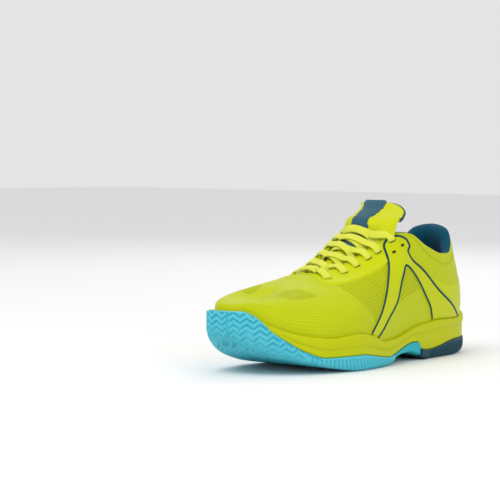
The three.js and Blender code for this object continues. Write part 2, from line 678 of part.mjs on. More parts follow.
const TONGUE_START = 0.322;
const TONGUE_END = 0.585;
const TONGUE_TUCK = 0.8; // how far down the flaps the tongue's edges reach, as v
const TONGUE_DEPTH = UPPER_WALL + BOND + LACE + BOND; // room for the lace under the flaps
const THROAT_SHARE = 0.6; // share of the tongue's width that shows between the flaps
const tongueArch = curve([[0.32, 2.5], [0.38, 4], [0.46, 6], [0.56, 9.5], [0.6, 11]]);

/** Top face of the tongue between and under the flaps: w from -1 (medial) to +1 (lateral). */
function tongueTop(w, s) {
  const under = (side, v) => skinPoint(side * s, v, -TONGUE_DEPTH);
  if (Math.abs(w) > THROAT_SHARE) {
    const v = lerp(1, TONGUE_TUCK, (Math.abs(w) - THROAT_SHARE) / (1 - THROAT_SHARE));
    return under(Math.sign(w), v);
  }
  const [medial, lateral] = [under(-1, 1), under(1, 1)];
  const t = 0.5 + w / (2 * THROAT_SHARE);
  const lean = skinNormal(s, 1).add(skinNormal(-s, 1)).normalize();
  const lift = tongueArch(s) * 4 * t * (1 - t);
  return medial.lerp(lateral, t).addScaledVector(lean, lift);
}

const TOP_SIZES = {
  x: curve([[0, 1.5], [0.25, -3.5], [0.6, -10], [0.85, -15], [1, -18]]), // from the hinge
  z: curve([[0, 0], [0.25, 0.27], [0.6, 0.61], [0.85, 0.88], [1, 1]]),
  half: curve([[0, 20], [0.15, 23.5], [0.35, 26], [0.6, 26.5], [0.8, 24], [0.93, 19], [1, 14]]),
  back: curve([[0, 9], [0.25, 13], [0.6, 14], [0.85, 9], [1, 4]]),
};
const TOP_FOOT = TONGUE_HINGE.z + 1.5;

/** Front face of the tongue's free end: w across, t from the fold (0) to the tip (1). */
function tongueTab(w, t) {
  const z = lerp(TOP_FOOT, TONGUE_TIP_HEIGHT, TOP_SIZES.z(t));
  const x = TONGUE_HINGE.x + TOP_SIZES.x(t) - TOP_SIZES.back(t) * w * w;
  return new THREE.Vector3(x, TOP_SIZES.half(t) * w, z);
}

/** A face moved along its own normal. */
function lifted(face, w, t, lift) {
  const step = 0.01;
  const across = face(w + step, t).sub(face(w - step, t));
  const along = face(w, t + step).sub(face(w, t - step));
  return face(w, t).addScaledVector(across.cross(along).normalize(), lift);
}

function tongueSheet(face, rows, high, low) {
  const columns = [-1, -0.8, -0.6, -0.3, 0, 0.3, 0.6, 0.8, 1];
  return thickSheet([grid(columns, rows)], (w, t) => lifted(face, w, t, high), (w, t) => lifted(face, w, t, low));
}

/** Webbing down the middle of a tongue face. */
function tongueStrip(face, rows) {
  const perWidth = (t) => STRIP_WIDTH / face(0.3, t).distanceTo(face(-0.3, t));
  const strip = rows.map((t) => [-0.3, -0.15, 0, 0.15, 0.3].map((w) => [w * perWidth(t), t]));
  const lift = (height) => (w, t) => lifted(face, w, t, height);
  return thickSheet([strip], lift(GAP + STRIP), lift(GAP));
}

function tongueBinding() {
  const tape = 1.2;
  const clear = 0.36 * TONGUE_PAD;
  const edge = [
    ...range(0.12, 1, 10).map((t) => [1, t]),
    ...range(0.6, -0.6, 6).map((w) => [w, 1]),
    ...range(1, 0.12, 10).map((t) => [-1, t]),
  ];
  const middle = (w, t) => lifted(tongueTab, w, t, -TONGUE_PAD / 2);
  const centre = TONGUE_HINGE.clone().add(new THREE.Vector3(-12, 0, 4));
  const stations = edge.map(([w, t]) => {
    const at = middle(w, t);
    const across = lifted(tongueTab, w, t, 1).sub(tongueTab(w, t));
    const outward = at.clone().sub(centre);
    outward.addScaledVector(across, -outward.dot(across)).normalize();
    return { at: at.addScaledVector(outward, clear + tape), across };
  });
  return band(stations, TONGUE_PAD - 2 * GAP, tape);
}

function tongue() {
  const baseRows = range(TONGUE_START, TONGUE_END, 9);
  const tabRows = [0, 0.2, 0.4, 0.6, 0.8, 0.93, 1];
  const liningHigh = -TONGUE_PAD - 2 * GAP;
  const liningLow = liningHigh - LINING;
  piece('tongue_base', tongueSheet(tongueTop, baseRows, 0, -TONGUE_PAD), 'lime');
  piece('tongue_base_lining', tongueSheet(tongueTop, baseRows, liningHigh, liningLow), 'petrolLining');
  piece('tongue_top', tongueSheet(tongueTab, tabRows, 0, -TONGUE_PAD), 'lime');
  piece('tongue_top_lining', tongueSheet(tongueTab, tabRows, liningHigh, liningLow), 'petrolLining');
  piece('tongue_strip_lower', tongueStrip(tongueTop, range(0.487, TONGUE_END, 8)), 'navyTrim');
  piece('tongue_strip_upper', tongueStrip(tongueTab, range(0, 1, 10)), 'navyTrim');
  piece('tongue_binding', tongueBinding(), 'navyTrim');
}

// ---------------------------------------------------------------- lace

const LACE_OVER = OVERLAY_HIGH + BOND + LACE / 2; // middle of the lace above the skin
const LACE_UNDER = -UPPER_WALL - BOND - LACE / 2; // and below it
const LACE_TURN = 1.3; // radius of the turn through an eyelet
const HOVER_LOW = GAP + STRIP + BOND + LACE / 2; // above the tongue, at a crossing
const HOVER_HIGH = HOVER_LOW + LACE + GAP;

/** Station of the lace at an eyelet: toThroat millimetres from its middle, height above the skin. */
function atEyelet([s, v], side, toThroat, height) {
  const { out, up, along } = skinAxes(side * s, v);
  const at = skin(side * s, v).addScaledVector(up, toThroat).addScaledVector(out, height);
  return { at, across: along };
}

/** Down through an eyelet from above, then back under the flap. direction is +1 towards the throat. */
function throughEyelet(eyelet, side, direction) {
  const diagonal = LACE_TURN * Math.SQRT1_2;
  const [top, bottom] = [LACE_OVER - LACE_TURN, LACE_UNDER + LACE_TURN];
  return [
    [LACE_TURN, LACE_OVER], [LACE_TURN - diagonal, top + diagonal], [0, top], [0, bottom],
    [direction * (LACE_TURN - diagonal), bottom - diagonal], [direction * LACE_TURN, LACE_UNDER],
  ].map(([toThroat, height]) => atEyelet(eyelet, side, toThroat, height));
}

function onTongue(w, s, hover) {
  const at = lifted(tongueTop, w, s, hover);
  return { at, across: tongueTop(w, s + 0.01).sub(tongueTop(w, s - 0.01)).normalize() };
}

function onSkin(side, s, v, lift) {
  return { at: skinPoint(side * s, v, lift), across: skinAxes(side * s, Math.min(v, 0.99)).along };
}

/** From under one flap, across the tongue and over the other flap to its next eyelet. */
function crossing(side, [eyeletS], [toS], hover) {
  const fromS = lerp(eyeletS, toS, 0.45);
  const path = [
    onSkin(side, lerp(eyeletS, fromS, 0.5), 0.97, LACE_UNDER),
    onSkin(side, fromS, 1, LACE_UNDER - 0.1),
  ];
  const across = [
    [0.5, 1.7], [0.4, 2.4], [0.28, hover], [0.14, hover], [0, hover], [-0.14, hover], [-0.28, hover],
    [-0.42, 4.8],
  ];
  for (const [w, height] of across) {
    path.push(onTongue(side * w, lerp(fromS, toS, (THROAT_SHARE - w) / (2 * THROAT_SHARE)), height));
  }
  path.push(onSkin(-side, toS, 1, LACE_OVER + 0.3), onSkin(-side, toS, 0.985, LACE_OVER + 0.1));
  return path;
}

/** Half of the lace, from the middle of the straight bar to its hidden end. */
function halfLace(start) {
  let side = start;
  const [first] = LACED_EYELETS;
  const path = [
    onTongue(side * 0.2, first[0], TONGUE_DEPTH + 3), onTongue(side * 0.42, first[0], TONGUE_DEPTH + 4),
    onSkin(side, first[0], 1, LACE_OVER + 3), onSkin(side, first[0], 0.95, LACE_OVER + 1.8),
    ...throughEyelet(first, side, 1),
  ];
  for (let i = 1; i < LACED_EYELETS.length; i += 1) {
    const hover = start > 0 ? HOVER_HIGH : HOVER_LOW;
    path.push(...crossing(side, LACED_EYELETS[i - 1], LACED_EYELETS[i], hover));
    side = -side;
    path.push(...throughEyelet(LACED_EYELETS[i], side, i + 1 < LACED_EYELETS.length ? 1 : -1));
  }
  const last = LACED_EYELETS.at(-1)[0];
  for (const [back, v] of [[0.004, 0.86], [0.008, 0.78], [0.012, 0.7], [0.016, 0.62], [0.02, 0.56]]) {
    path.push(onSkin(side, last - back, v, LACE_UNDER - (v < 0.6 ? AGLET_RADIUS : 0)));
  }
  return { path, side };
}

function aglet(path, side, name) {
  const end = path.at(-1).at;
  const aim = onSkin(side, LACED_EYELETS.at(-1)[0] - 0.03, 0.4, LACE_UNDER - AGLET_RADIUS - 1).at;
  const along = aim.sub(end).normalize();
  const body = new THREE.CylinderGeometry(AGLET_RADIUS, AGLET_RADIUS, AGLET_LENGTH, 10);
  piece(name, body, 'paleLace');
  const mesh = shoe.children.at(-1);
  mesh.quaternion.setFromUnitVectors(new THREE.Vector3(0, 1, 0), along);
  mesh.position.copy(end).addScaledVector(along, AGLET_LENGTH / 2 + GAP);
}

function lacing() {
  const [one, other] = [halfLace(1), halfLace(-1)];
  piece('lace', band([...one.path].reverse().concat(other.path), LACE_WIDTH, LACE), 'paleLace');
  for (const { path, side } of [one, other]) {
    aglet(path, side, side > 0 ? 'lace_tip_lateral' : 'lace_tip_medial');
  }
}

// ---------------------------------------------------------------- the shoe

soleUnit();
footbed();
upperShells();
eyestays();
sideFrames();
framePiping();
endOverlays();
innerLayers();
tongue();
lacing();

const extent = new THREE.Box3().setFromObject(shoe);
shoe.position.set(-(extent.min.x + extent.max.x) / 2, -(extent.min.y + extent.max.y) / 2, -extent.min.z);

export default shoe;
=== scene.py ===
"""Court shoe for the left foot: the visual model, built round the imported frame.

Shapes are worked out in millimetres in the shoe's design axes: X to the toe, Y to the little-toe
side, Z up. They become metres in the frame's axes when a mesh is made. A place on the upper is
(u, v): u runs round the shoe, 0 at the toe and +1 or -1 at the heel, positive on the lateral
side, and v runs from the feather line (0), where upper and sole meet, to the top edge (1).
"""

import logging
import math
from dataclasses import dataclass
from enum import Enum
from typing import Callable, Optional, Sequence

import bmesh
import bpy
import numpy as np
from mathutils import Matrix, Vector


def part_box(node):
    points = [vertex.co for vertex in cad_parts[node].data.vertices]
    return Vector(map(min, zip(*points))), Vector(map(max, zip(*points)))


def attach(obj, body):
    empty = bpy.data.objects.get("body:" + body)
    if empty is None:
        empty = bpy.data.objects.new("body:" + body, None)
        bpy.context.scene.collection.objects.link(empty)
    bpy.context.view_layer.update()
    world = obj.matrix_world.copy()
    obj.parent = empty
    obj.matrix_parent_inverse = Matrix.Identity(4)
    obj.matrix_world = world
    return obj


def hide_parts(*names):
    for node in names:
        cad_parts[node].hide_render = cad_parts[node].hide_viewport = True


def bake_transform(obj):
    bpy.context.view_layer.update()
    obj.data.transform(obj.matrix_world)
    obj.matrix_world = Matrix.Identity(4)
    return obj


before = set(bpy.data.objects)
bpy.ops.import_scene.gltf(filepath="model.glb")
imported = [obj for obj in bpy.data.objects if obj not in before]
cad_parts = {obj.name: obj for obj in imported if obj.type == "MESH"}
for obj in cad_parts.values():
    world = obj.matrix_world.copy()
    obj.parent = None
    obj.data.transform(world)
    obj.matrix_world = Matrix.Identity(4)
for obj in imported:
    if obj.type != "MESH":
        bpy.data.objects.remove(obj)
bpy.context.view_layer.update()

log = logging.getLogger("court_shoe")
Array = np.ndarray
Surface = Callable[[Array, Array], Array]

MM = 0.001
UV_NAME = "Weave"
ROUND = 300.0  # about how many millimetres u runs from 0 to 1
RISE = 62.0  # about how many millimetres v runs from 0 to 1
TOP = 0.985  # where the film pieces stop under the top edge, as a place v
ARCH_TOP = 0.63  # how high the side frame's arch reaches, as a place v


# ------------------------------------------------------------------ numbers and curves


def hermite(f: Array, width: Array, start: Array, leave: Array, end: Array, arrive: Array) -> Array:
    """Returns a cubic between two values.

    Args:
        f: Share of the way, 0 to 1.
        width: Distance between the two.
        start: First value.
        leave: Slope at the first value.
        end: Last value.
        arrive: Slope at the last value.

    Returns:
        The value at f.
    """
    low = (2 * f**3 - 3 * f**2 + 1) * start + (f**3 - 2 * f**2 + f) * width * leave
    return low + ((3 * f**2 - 2 * f**3) * end + (f**3 - f**2) * width * arrive)


def cubic(knots: Array, values: Array, slopes: Array, at: Array) -> Array:
    """Returns a row of cubics through values at knots.

    Args:
        knots: Places of the values, rising.
        values: The values.
        slopes: The slope at each value.
        at: Places wanted, within the knots.

    Returns:
        The values at those places.
    """
    i = np.clip(np.searchsorted(knots, at, "right") - 1, 0, len(knots) - 2)
    width = knots[i + 1] - knots[i]
    return hermite((at - knots[i]) / width, width, values[i], slopes[i], values[i + 1], slopes[i + 1])


class Curve:
    """A smooth curve through (place, value) pairs that never overshoots, flat past both ends."""

    def __init__(self, points: Sequence[tuple[float, float]], flat_ends: bool = False) -> None:
        """Works out the slope at each point.

        Args:
            points: Pairs of place and value, by rising place.
            flat_ends: True if the curve leaves its first and last point level.
        """
        self.place, self.value = np.array(points, float).T
        width = np.diff(self.place)
        rise = np.diff(self.value) / width
        self.slope = np.zeros_like(self.value)
        if not flat_ends:
            self.slope[[0, -1]] = rise[[0, -1]]
        before, after = width[:-1], width[1:]
        same = rise[:-1] * rise[1:] > 0
        safe_before = np.where(same, rise[:-1], 1.0)
        safe_after = np.where(same, rise[1:], 1.0)
        share = (2 * after + before) / safe_before + (after + 2 * before) / safe_after
        mean = 3 * (before + after) / share
        self.slope[1:-1] = np.where(same, mean, 0.0)

    def __call__(self, place: Array) -> Array:
        """Returns the curve's value at each place."""
        return cubic(self.place, self.value, self.slope, np.clip(place, self.place[0], self.place[-1]))


def smooth(x: Array, low: float, high: float) -> Array:
    """Returns 0 at low and 1 at high, with a soft step between; low may be the larger one."""
    t = np.clip((x - low) / (high - low), 0, 1)
    return t * t * (3 - 2 * t)


def lerp(a: Array, b: Array, t: Array) -> Array:
    """Returns the value that lies a share t of the way from a to b."""
    return a + (b - a) * t


def unit(vector: Array) -> Array:
    """Returns vectors of length one."""
    return vector / np.maximum(np.linalg.norm(vector, axis=-1, keepdims=True), 1e-12)


def apart(x: Array) -> Array:
    """Returns the distance to the nearest whole number."""
    return np.abs(x - np.floor(x + 0.5))


def zigzag(x: Array) -> Array:
    """Returns a wave of straight flanks between -1 and 1, with period 1."""
    return 4 * apart(x) - 1


def groove(phase: Array, share: float) -> Array:
    """Returns the depth, 0 to 1, of grooves with period 1 that take up a share of it."""
    return smooth(apart(phase), share / 2 + 0.13, share / 2 - 0.1)


def circle(count: int) -> Array:
    """Returns evenly spaced angles of one turn."""
    return np.linspace(0, math.tau, count, endpoint=False)


def matched(*values: Array) -> list[Array]:
    """Returns numbers and grids as grids of one size."""
    return np.broadcast_arrays(*(np.asarray(value, float) for value in values))


def travel(points: Array) -> Array:
    """Returns the length of the way to each point of a row."""
    return np.concatenate([[0], np.cumsum(np.linalg.norm(np.diff(points, axis=0), axis=1))])


def between(at: Array, known: Array, rows: Array) -> Array:
    """Returns rows of three numbers at places between the known ones."""
    return np.stack([np.interp(at, known, rows[:, k]) for k in range(3)], -1)


def vary(*parts: tuple[float, float, int]) -> Array:
    """Returns places in a row from (start, end, count) stretches that share their ends."""
    pieces = [np.linspace(start, end, count, endpoint=False) for start, end, count in parts]
    return np.concatenate([*pieces, [parts[-1][1]]])


def side_of(u: Array) -> tuple[Array, Array]:
    """Returns the side (+1 lateral, -1 medial) and the distance from the toe of a place u."""
    wrapped = np.where(u > 1, u - 2, np.where(u < -1, u + 2, u))
    return np.where(wrapped < 0, -1.0, 1.0), np.abs(wrapped)


# ------------------------------------------------------------------ the shape of the shoe


@dataclass
class Form:
    """The shoe's shape, which every piece follows. Sizes are in millimetres."""

    sole_length: float = 300.0
    rubber: float = 4.0
    rubber_wall: float = 3.0
    upper_wall: float = 1.8
    skirt_tuck: float = 4.0
    bumper_top: float = 49.5
    toe_spring: float = 27.0
    hinge: tuple[float, float, float] = (-24.0, 0.0, 112.0)
    tongue_tip: float = 131.5
    tongue_pad: float = 5.5
    vamp_end: float = 0.3
    spine_end: float = 14.0
    ridge_end: float = 0.035
    ridge_start: float = 0.88
    forefoot_end: float = 0.51
    shank_start: float = 0.513
    shank_end: float = 0.612
    heel_start: float = 0.615

    def __post_init__(self) -> None:
        """Makes the curves that run along and round the shoe."""
        self.half = self.sole_length / 2
        self.width_lateral = Curve([
            (-1, 44), (-0.73, 44), (-0.47, 42.5), (-0.2, 44), (0.07, 51), (0.33, 58), (0.57, 59.5),
            (0.77, 56), (1, 47),
        ])
        self.width_medial = Curve([
            (-1, 42), (-0.73, 42), (-0.47, 38), (-0.2, 33.5), (0, 33), (0.2, 38), (0.4, 47), (0.6, 50),
            (0.8, 47.5), (1, 41),
        ])
        self.centre_line = Curve([(-1, 1), (-0.33, 1), (0.2, 0), (0.53, -2), (0.8, -5), (1, -8)])
        self.underside = Curve([
            (-1, 9), (-0.93, 4), (-0.83, 0.5), (-0.73, 0), (-0.43, 0), (-0.35, 2.5), (-0.22, 6.5), (-0.11, 6),
            (0.0, 1.5), (0.08, 0), (0.32, 0), (0.5, 3), (0.67, 8.5), (0.83, 15.5), (0.947, 22.5),
            (1, self.toe_spring),
        ])
        self.bed_thickness = Curve([
            (-1, 27), (-0.73, 25), (-0.4, 19), (-0.13, 13), (0.1, 12.5), (0.4, 13), (1, 12),
        ])
        self.feather_lateral = Curve([
            (0, 50), (0.08, 49), (0.13, 45), (0.175, 38.5), (0.25, 30.5), (0.33, 27), (0.39, 29),
            (0.43, 27), (0.478, 20.5), (0.515, 21), (0.61, 29), (0.69, 31.5), (0.79, 30.5),
            (0.9, 34.5), (1, 37.5),
        ], True)
        self.feather_medial = Curve([
            (0, 50), (0.1, 49), (0.2, 44.5), (0.3, 39), (0.4, 34), (0.47, 29), (0.52, 27), (0.61, 30),
            (0.7, 33), (0.8, 32.5), (0.9, 35.5), (1, 37.5),
        ], True)
        self.feather_inset = Curve([(0, 7), (0.17, 6.2), (0.28, 4.6), (0.4, 4), (0.9, 3.6), (1, 3.2)], True)
        top = self.bumper_top
        self.cover_lateral = Curve([
            (0, top), (0.085, top), (0.12, 47), (0.15, 41.5), (0.178, 33.5), (0.22, 25), (0.255, 18),
            (0.31, 12), (0.4, 12), (0.455, 9), (0.495, 7), (0.515, 8.5), (0.556, 13.5), (0.583, 15.7),
            (0.602, 15.3), (0.616, 9), (0.645, 7.5), (0.69, 9.2), (0.735, 12), (0.78, 13), (0.86, 13),
            (1, 15.5),
        ], True)
        self.cover_medial = Curve([
            (0, top), (0.1, 48.5), (0.2, 44), (0.3, 38.5), (0.4, 33), (0.455, 27), (0.485, 18), (0.5, 9),
            (0.515, 9), (0.556, 13), (0.593, 14.5), (0.616, 9), (0.645, 7.5), (0.69, 9.2), (0.76, 12.5),
            (0.86, 13), (1, 15.5),
        ], True)
        self.edge_x = Curve([
            (0, 0.653), (0.2, 0.533), (0.3, 0.333), (0.36, 0.24), (0.46, 0.067), (0.58, -0.16),
            (0.66, -0.307), (0.72, -0.453), (0.8, -0.647), (0.9, -0.78), (1, -0.84),
        ])
        self.edge_y_lateral = Curve([
            (0, -5), (0.2, -4), (0.3, -2), (0.303, -1.1), (0.33, 7), (0.37, 12), (0.46, 17), (0.56, 23),
            (0.62, 28), (0.68, 33), (0.75, 34.5), (0.82, 32), (0.9, 24), (0.96, 12), (1, 0),
        ])
        self.edge_y_medial = Curve([
            (0, -5), (0.2, -4), (0.3, -2), (0.303, -2.9), (0.33, -6), (0.37, -9), (0.46, -12), (0.56, -17),
            (0.62, -22), (0.68, -29), (0.75, -32), (0.82, -30), (0.9, -22.5), (0.96, -11), (1, 0),
        ])
        collar = [(0.66, 105), (0.72, 94), (0.78, 87), (0.82, 87), (0.88, 96), (0.94, 107), (1, 110)]
        toe = [(0, 57), (0.1, 60), (0.2, 66), (0.3, 74)]
        self.edge_z_lateral = Curve([*toe, (0.36, 77), (0.46, 86), (0.56, 99), (0.62, 106), *collar], True)
        self.edge_z_medial = Curve([*toe, (0.36, 79), (0.46, 91), (0.56, 104), (0.62, 108), *collar], True)
        self.rise_low = Curve([
            (0, 10), (0.1, 14), (0.2, 18), (0.4, 22), (0.6, 30), (0.8, 26), (1, 24),
        ], True)
        self.flare_low = Curve([
            (0, 0.05), (0.2, 0.18), (0.4, 0.12), (0.6, 0.05), (0.8, 0.12), (1, 0.08),
        ], True)
        self.reach_high = Curve([
            (0, 26), (0.2, 34), (0.5, 34), (0.58, 32), (0.66, 20), (0.8, 18), (1, 20),
        ], True)
        self.fall_high = Curve([
            (0, 0.36), (0.1, 0.3), (0.2, 0.15), (0.28, 0.12), (0.35, 0.45), (0.5, 0.75), (0.58, 1.1),
            (0.66, 2.5), (0.8, 4.5), (1, 5),
        ], True)
        self.frame_front = Curve([
            (0, 0.429), (0.356, 0.466), (0.613, 0.5), (0.806, 0.535), (0.96, 0.554), (1, 0.565),
        ])
        self.frame_back = Curve([
            (0, 0.822), (0.142, 0.772), (0.348, 0.699), (0.538, 0.661), (0.687, 0.63), (0.76, 0.627),
            (0.828, 0.645), (0.9, 0.643), (1, 0.625),
        ])
        self.arch_front = Curve([
            (0, 0.458), (0.215, 0.494), (0.367, 0.532), (0.507, 0.555), (0.6, 0.578), (0.63, 0.592),
        ])
        self.arch_back = Curve([
            (0, 0.66), (0.136, 0.653), (0.256, 0.64), (0.426, 0.624), (0.588, 0.602), (0.63, 0.592),
        ])
        self.tongue_arch = Curve([(0.32, 2.5), (0.38, 4), (0.46, 6), (0.56, 9.5), (0.6, 11)])
        self.tab_x = Curve([
            (0, -17), (0.16, -18.5), (0.3, -23), (0.45, -28), (0.6, -33), (0.85, -39), (1, -42),
        ])
        self.tab_z = Curve([(0, 0), (0.25, 0.27), (0.6, 0.61), (0.85, 0.88), (1, 1)])
        self.tab_lateral = Curve([
            (0, 29), (0.16, 32), (0.3, 32), (0.45, 30), (0.6, 27), (0.8, 21), (0.93, 15), (1, 9),
        ])
        self.tab_medial = Curve([
            (0, 25), (0.16, 22), (0.3, 20), (0.6, 21), (0.8, 21), (0.93, 18), (1, 13),
        ])
        self.tab_back = Curve([(0, 9), (0.25, 13), (0.6, 14), (0.85, 9), (1, 4)])

    def rim(self, u: Array) -> Array:
        """Returns the sole's outline, as (x, y), at each place u.

        Args:
            u: Places round the shoe.

        Returns:
            Points of the outline.
        """
        side, s = side_of(u)
        along = np.cos(np.pi * s)
        fullness = 0.66 + 0.06 * np.clip(along + 0.5, 0, 1)
        grow = np.abs(np.sin(np.pi * s)) ** fullness
        width = np.where(side > 0, self.width_lateral(along), self.width_medial(along))
        return np.stack([self.half * along, self.centre_line(along) + side * width * grow], -1)

    def rim_normal(self, u: Array) -> Array:
        """Returns the outline's outward direction, as (x, y), at each place u."""
        d = self.rim(u + 0.002) - self.rim(u - 0.002)
        return unit(np.stack([d[..., 1], -d[..., 0]], -1))

    def rim_point(self, u: Array, inset: Array, z: Array) -> Array:
        """Returns points at a height, moved in from the outline by inset."""
        u, inset, z = np.broadcast_arrays(u, inset, z)
        flat = self.rim(u) - self.rim_normal(u) * inset[..., None]
        return np.concatenate([flat, z[..., None]], -1)

    def rim_length(self, u: Array) -> Array:
        """Returns the length along the outline from the toe to each place u, negative medially."""
        fine = np.linspace(-1, 1, 2001)
        total = travel(self.rim(fine))
        return np.interp(u, fine, total - np.interp(0, fine, total))

    def floor(self, x: Array) -> Array:
        """Returns the height of the sole's underside at each x."""
        return self.underside(x / self.half)

    def bed(self, x: Array) -> Array:
        """Returns the height of the footbed at each x."""
        return self.floor(x) + self.bed_thickness(x / self.half)

    def feather(self, u: Array) -> Array:
        """Returns the height at which upper and sole meet."""
        side, s = side_of(u)
        return np.where(side > 0, self.feather_lateral(s), self.feather_medial(s))

    def cover(self, u: Array) -> Array:
        """Returns the height of the rubber's or the shank's top on the side wall."""
        side, s = side_of(u)
        height = np.where(side > 0, self.cover_lateral(s), self.cover_medial(s))
        return np.maximum(height, self.floor(self.rim(u)[..., 0]) + self.rubber + 0.35)

    def floor_point(self, u: Array, reach: Array, inset: float, height: Callable[[Array], Array]) -> Array:
        """Returns points on a face across the sole.

        Args:
            u: Places round the shoe.
            reach: 0 on the spine, 1 at the inset from the outline.
            inset: Distance in from the outline at reach 1.
            height: Height of the face as a function of x.
        """
        u, reach = np.broadcast_arrays(u, reach)
        along = np.cos(np.pi * side_of(u)[1]) * (1 - self.spine_end / self.half)
        spine = np.stack([along * self.half, self.centre_line(along), 0 * along], -1)
        point = lerp(spine, self.rim_point(u, inset, 0.0), reach[..., None])
        point[..., 2] = height(point[..., 0])
        return point

    def skin(self, u: Array, v: Array) -> Array:
        """Returns points on the upper's outer face.

        Args:
            u: Places round the shoe.
            v: Places up the upper, 0 to 1.

        Returns:
            Points of the face.
        """
        u, v = matched(u, v)
        side, s = side_of(u)
        out = self.rim_normal(u)
        foot = self.rim_point(u, self.feather_inset(s), self.feather(u))
        top = np.stack([
            self.edge_x(s) * self.half,
            np.where(side > 0, self.edge_y_lateral(s), self.edge_y_medial(s)),
            np.where(side > 0, self.edge_z_lateral(s), self.edge_z_medial(s)),
        ], -1)
        flare = self.flare_low(s)[..., None]
        rise = np.concatenate([out * flare, np.ones_like(flare)], -1) * self.rise_low(s)[..., None]
        fall = unit(np.concatenate([out, -self.fall_high(s)[..., None]], -1)) * self.reach_high(s)[..., None]
        w, v = (1 - v)[..., None], v[..., None]
        return foot * w**3 + (foot + rise) * 3 * w**2 * v + (top + fall) * 3 * w * v**2 + top * v**3

    def normal(self, u: Array, v: Array) -> Array:
        """Returns the outward direction of the upper's outer face.

        Args:
            u: Places round the shoe.
            v: Places up the upper, 0 to 1.

        Returns:
            Unit vectors.
        """
        u, v = matched(u, v)
        at_tip = (side_of(u)[1] < self.ridge_end) & (v > self.ridge_start)
        u = np.where(at_tip, self.ridge_end * side_of(u)[0], u)
        along_u = self.skin(u + 0.003, v) - self.skin(u - 0.003, v)
        along_v = self.skin(u, v + 0.003) - self.skin(u, v - 0.003)
        normal = unit(np.cross(along_u, along_v))
        ridge = (v > 0.999) & (side_of(u)[1] <= self.vamp_end)
        normal[..., 1] = np.where(ridge, 0, normal[..., 1])
        return unit(normal)

    def skin_point(self, u: Array, v: Array, lift: Array) -> Array:
        """Returns the upper's face moved outwards by lift; v below 0 is the skirt under the foot.

        Args:
            u: Places round the shoe.
            v: Places up the upper, 0 to 1.
            lift: Distance outwards, in millimetres.

        Returns:
            The moved points.
        """
        u, v, lift = matched(u, v, lift)
        wall = self.skin(u, np.maximum(v, 0)) + self.normal(u, np.maximum(v, 0)) * lift[..., None]
        tuck = np.maximum(-v, 0)
        inset = self.feather_inset(side_of(u)[1]) + self.skirt_tuck * tuck - lift
        z = lerp(self.feather(u), self.bed(self.rim(u)[..., 0]) + 0.35, tuck)
        return np.where((v >= 0)[..., None], wall, self.rim_point(u, inset, z))

    def axes(self, u: Array, v: Array) -> tuple[Array, Array, Array]:
        """Returns the directions out, up to the top edge and along to the heel, at a place.

        Args:
            u: Places round the shoe.
            v: Places up the upper, 0 to 1.

        Returns:
            Three unit vectors for each place.
        """
        out = self.normal(u, v)
        heelward = side_of(np.asarray(u, float))[0]
        up = unit(self.skin(u, v + 0.004) - self.skin(u, v - 0.004))
        along = self.skin(u + 0.004 * heelward, v) - self.skin(u - 0.004 * heelward, v)
        along = along - up * np.sum(along * up, -1, keepdims=True)
        return out, up, unit(along)

    def tongue(self, w: Array, s: Array) -> Array:
        """Returns the tongue's face between and under the flaps, w from -1 (medial) to +1.

        Args:
            w: Places across the tongue, -1 to 1.
            s: Distances from the toe.

        Returns:
            Points of the tongue's front.
        """
        w, s = matched(w, s)
        share, tuck, depth = 0.6, 0.8, self.upper_wall + 3.6
        outside = np.clip((np.abs(w) - share) / (1 - share), 0, 1)
        side = np.where(w < 0, -1.0, 1.0)
        flank = self.skin_point(side * s, lerp(1, tuck, outside), -depth)
        medial, lateral = self.skin_point(-s, 1.0, -depth), self.skin_point(s, 1.0, -depth)
        t = np.clip(0.5 + w / (2 * share), 0, 1)[..., None]
        lean = unit(self.normal(s, 1.0) + self.normal(-s, 1.0))
        middle = lerp(medial, lateral, t) + lean * (self.tongue_arch(s)[..., None] * 4 * t * (1 - t))
        return np.where((np.abs(w) > share)[..., None], flank, middle)

    def tab(self, w: Array, t: Array) -> Array:
        """Returns the front of the tongue's free end, t from the fold (0) to the tip (1)."""
        w, t = matched(w, t)
        z = lerp(self.hinge[2] + 1.5, self.tongue_tip, self.tab_z(t))
        half = lerp(self.tab_medial(t), self.tab_lateral(t), smooth(w, -0.5, 0.5))
        return np.stack([self.tab_x(t) - self.tab_back(t) * w**2, half * w, z], -1)


FORM = Form()


def design_shift() -> Array:
    """Returns the move from the design axes to the frame's axes, in millimetres."""
    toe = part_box("outsole_forefoot")[1]
    strip_low, strip_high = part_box("tongue_strip_upper")
    return np.array([toe.x / MM - FORM.half, (strip_low.y + strip_high.y) / 2 / MM, 0.0])


SHIFT = design_shift()


# ------------------------------------------------------------------ finishes


class Pattern(Enum):
    """The fine texture of a finish."""

    GRAIN = "grain"
    KNIT = "knit"
    BRAID = "braid"
    TWILL = "twill"
    BRUSHED = "brushed"


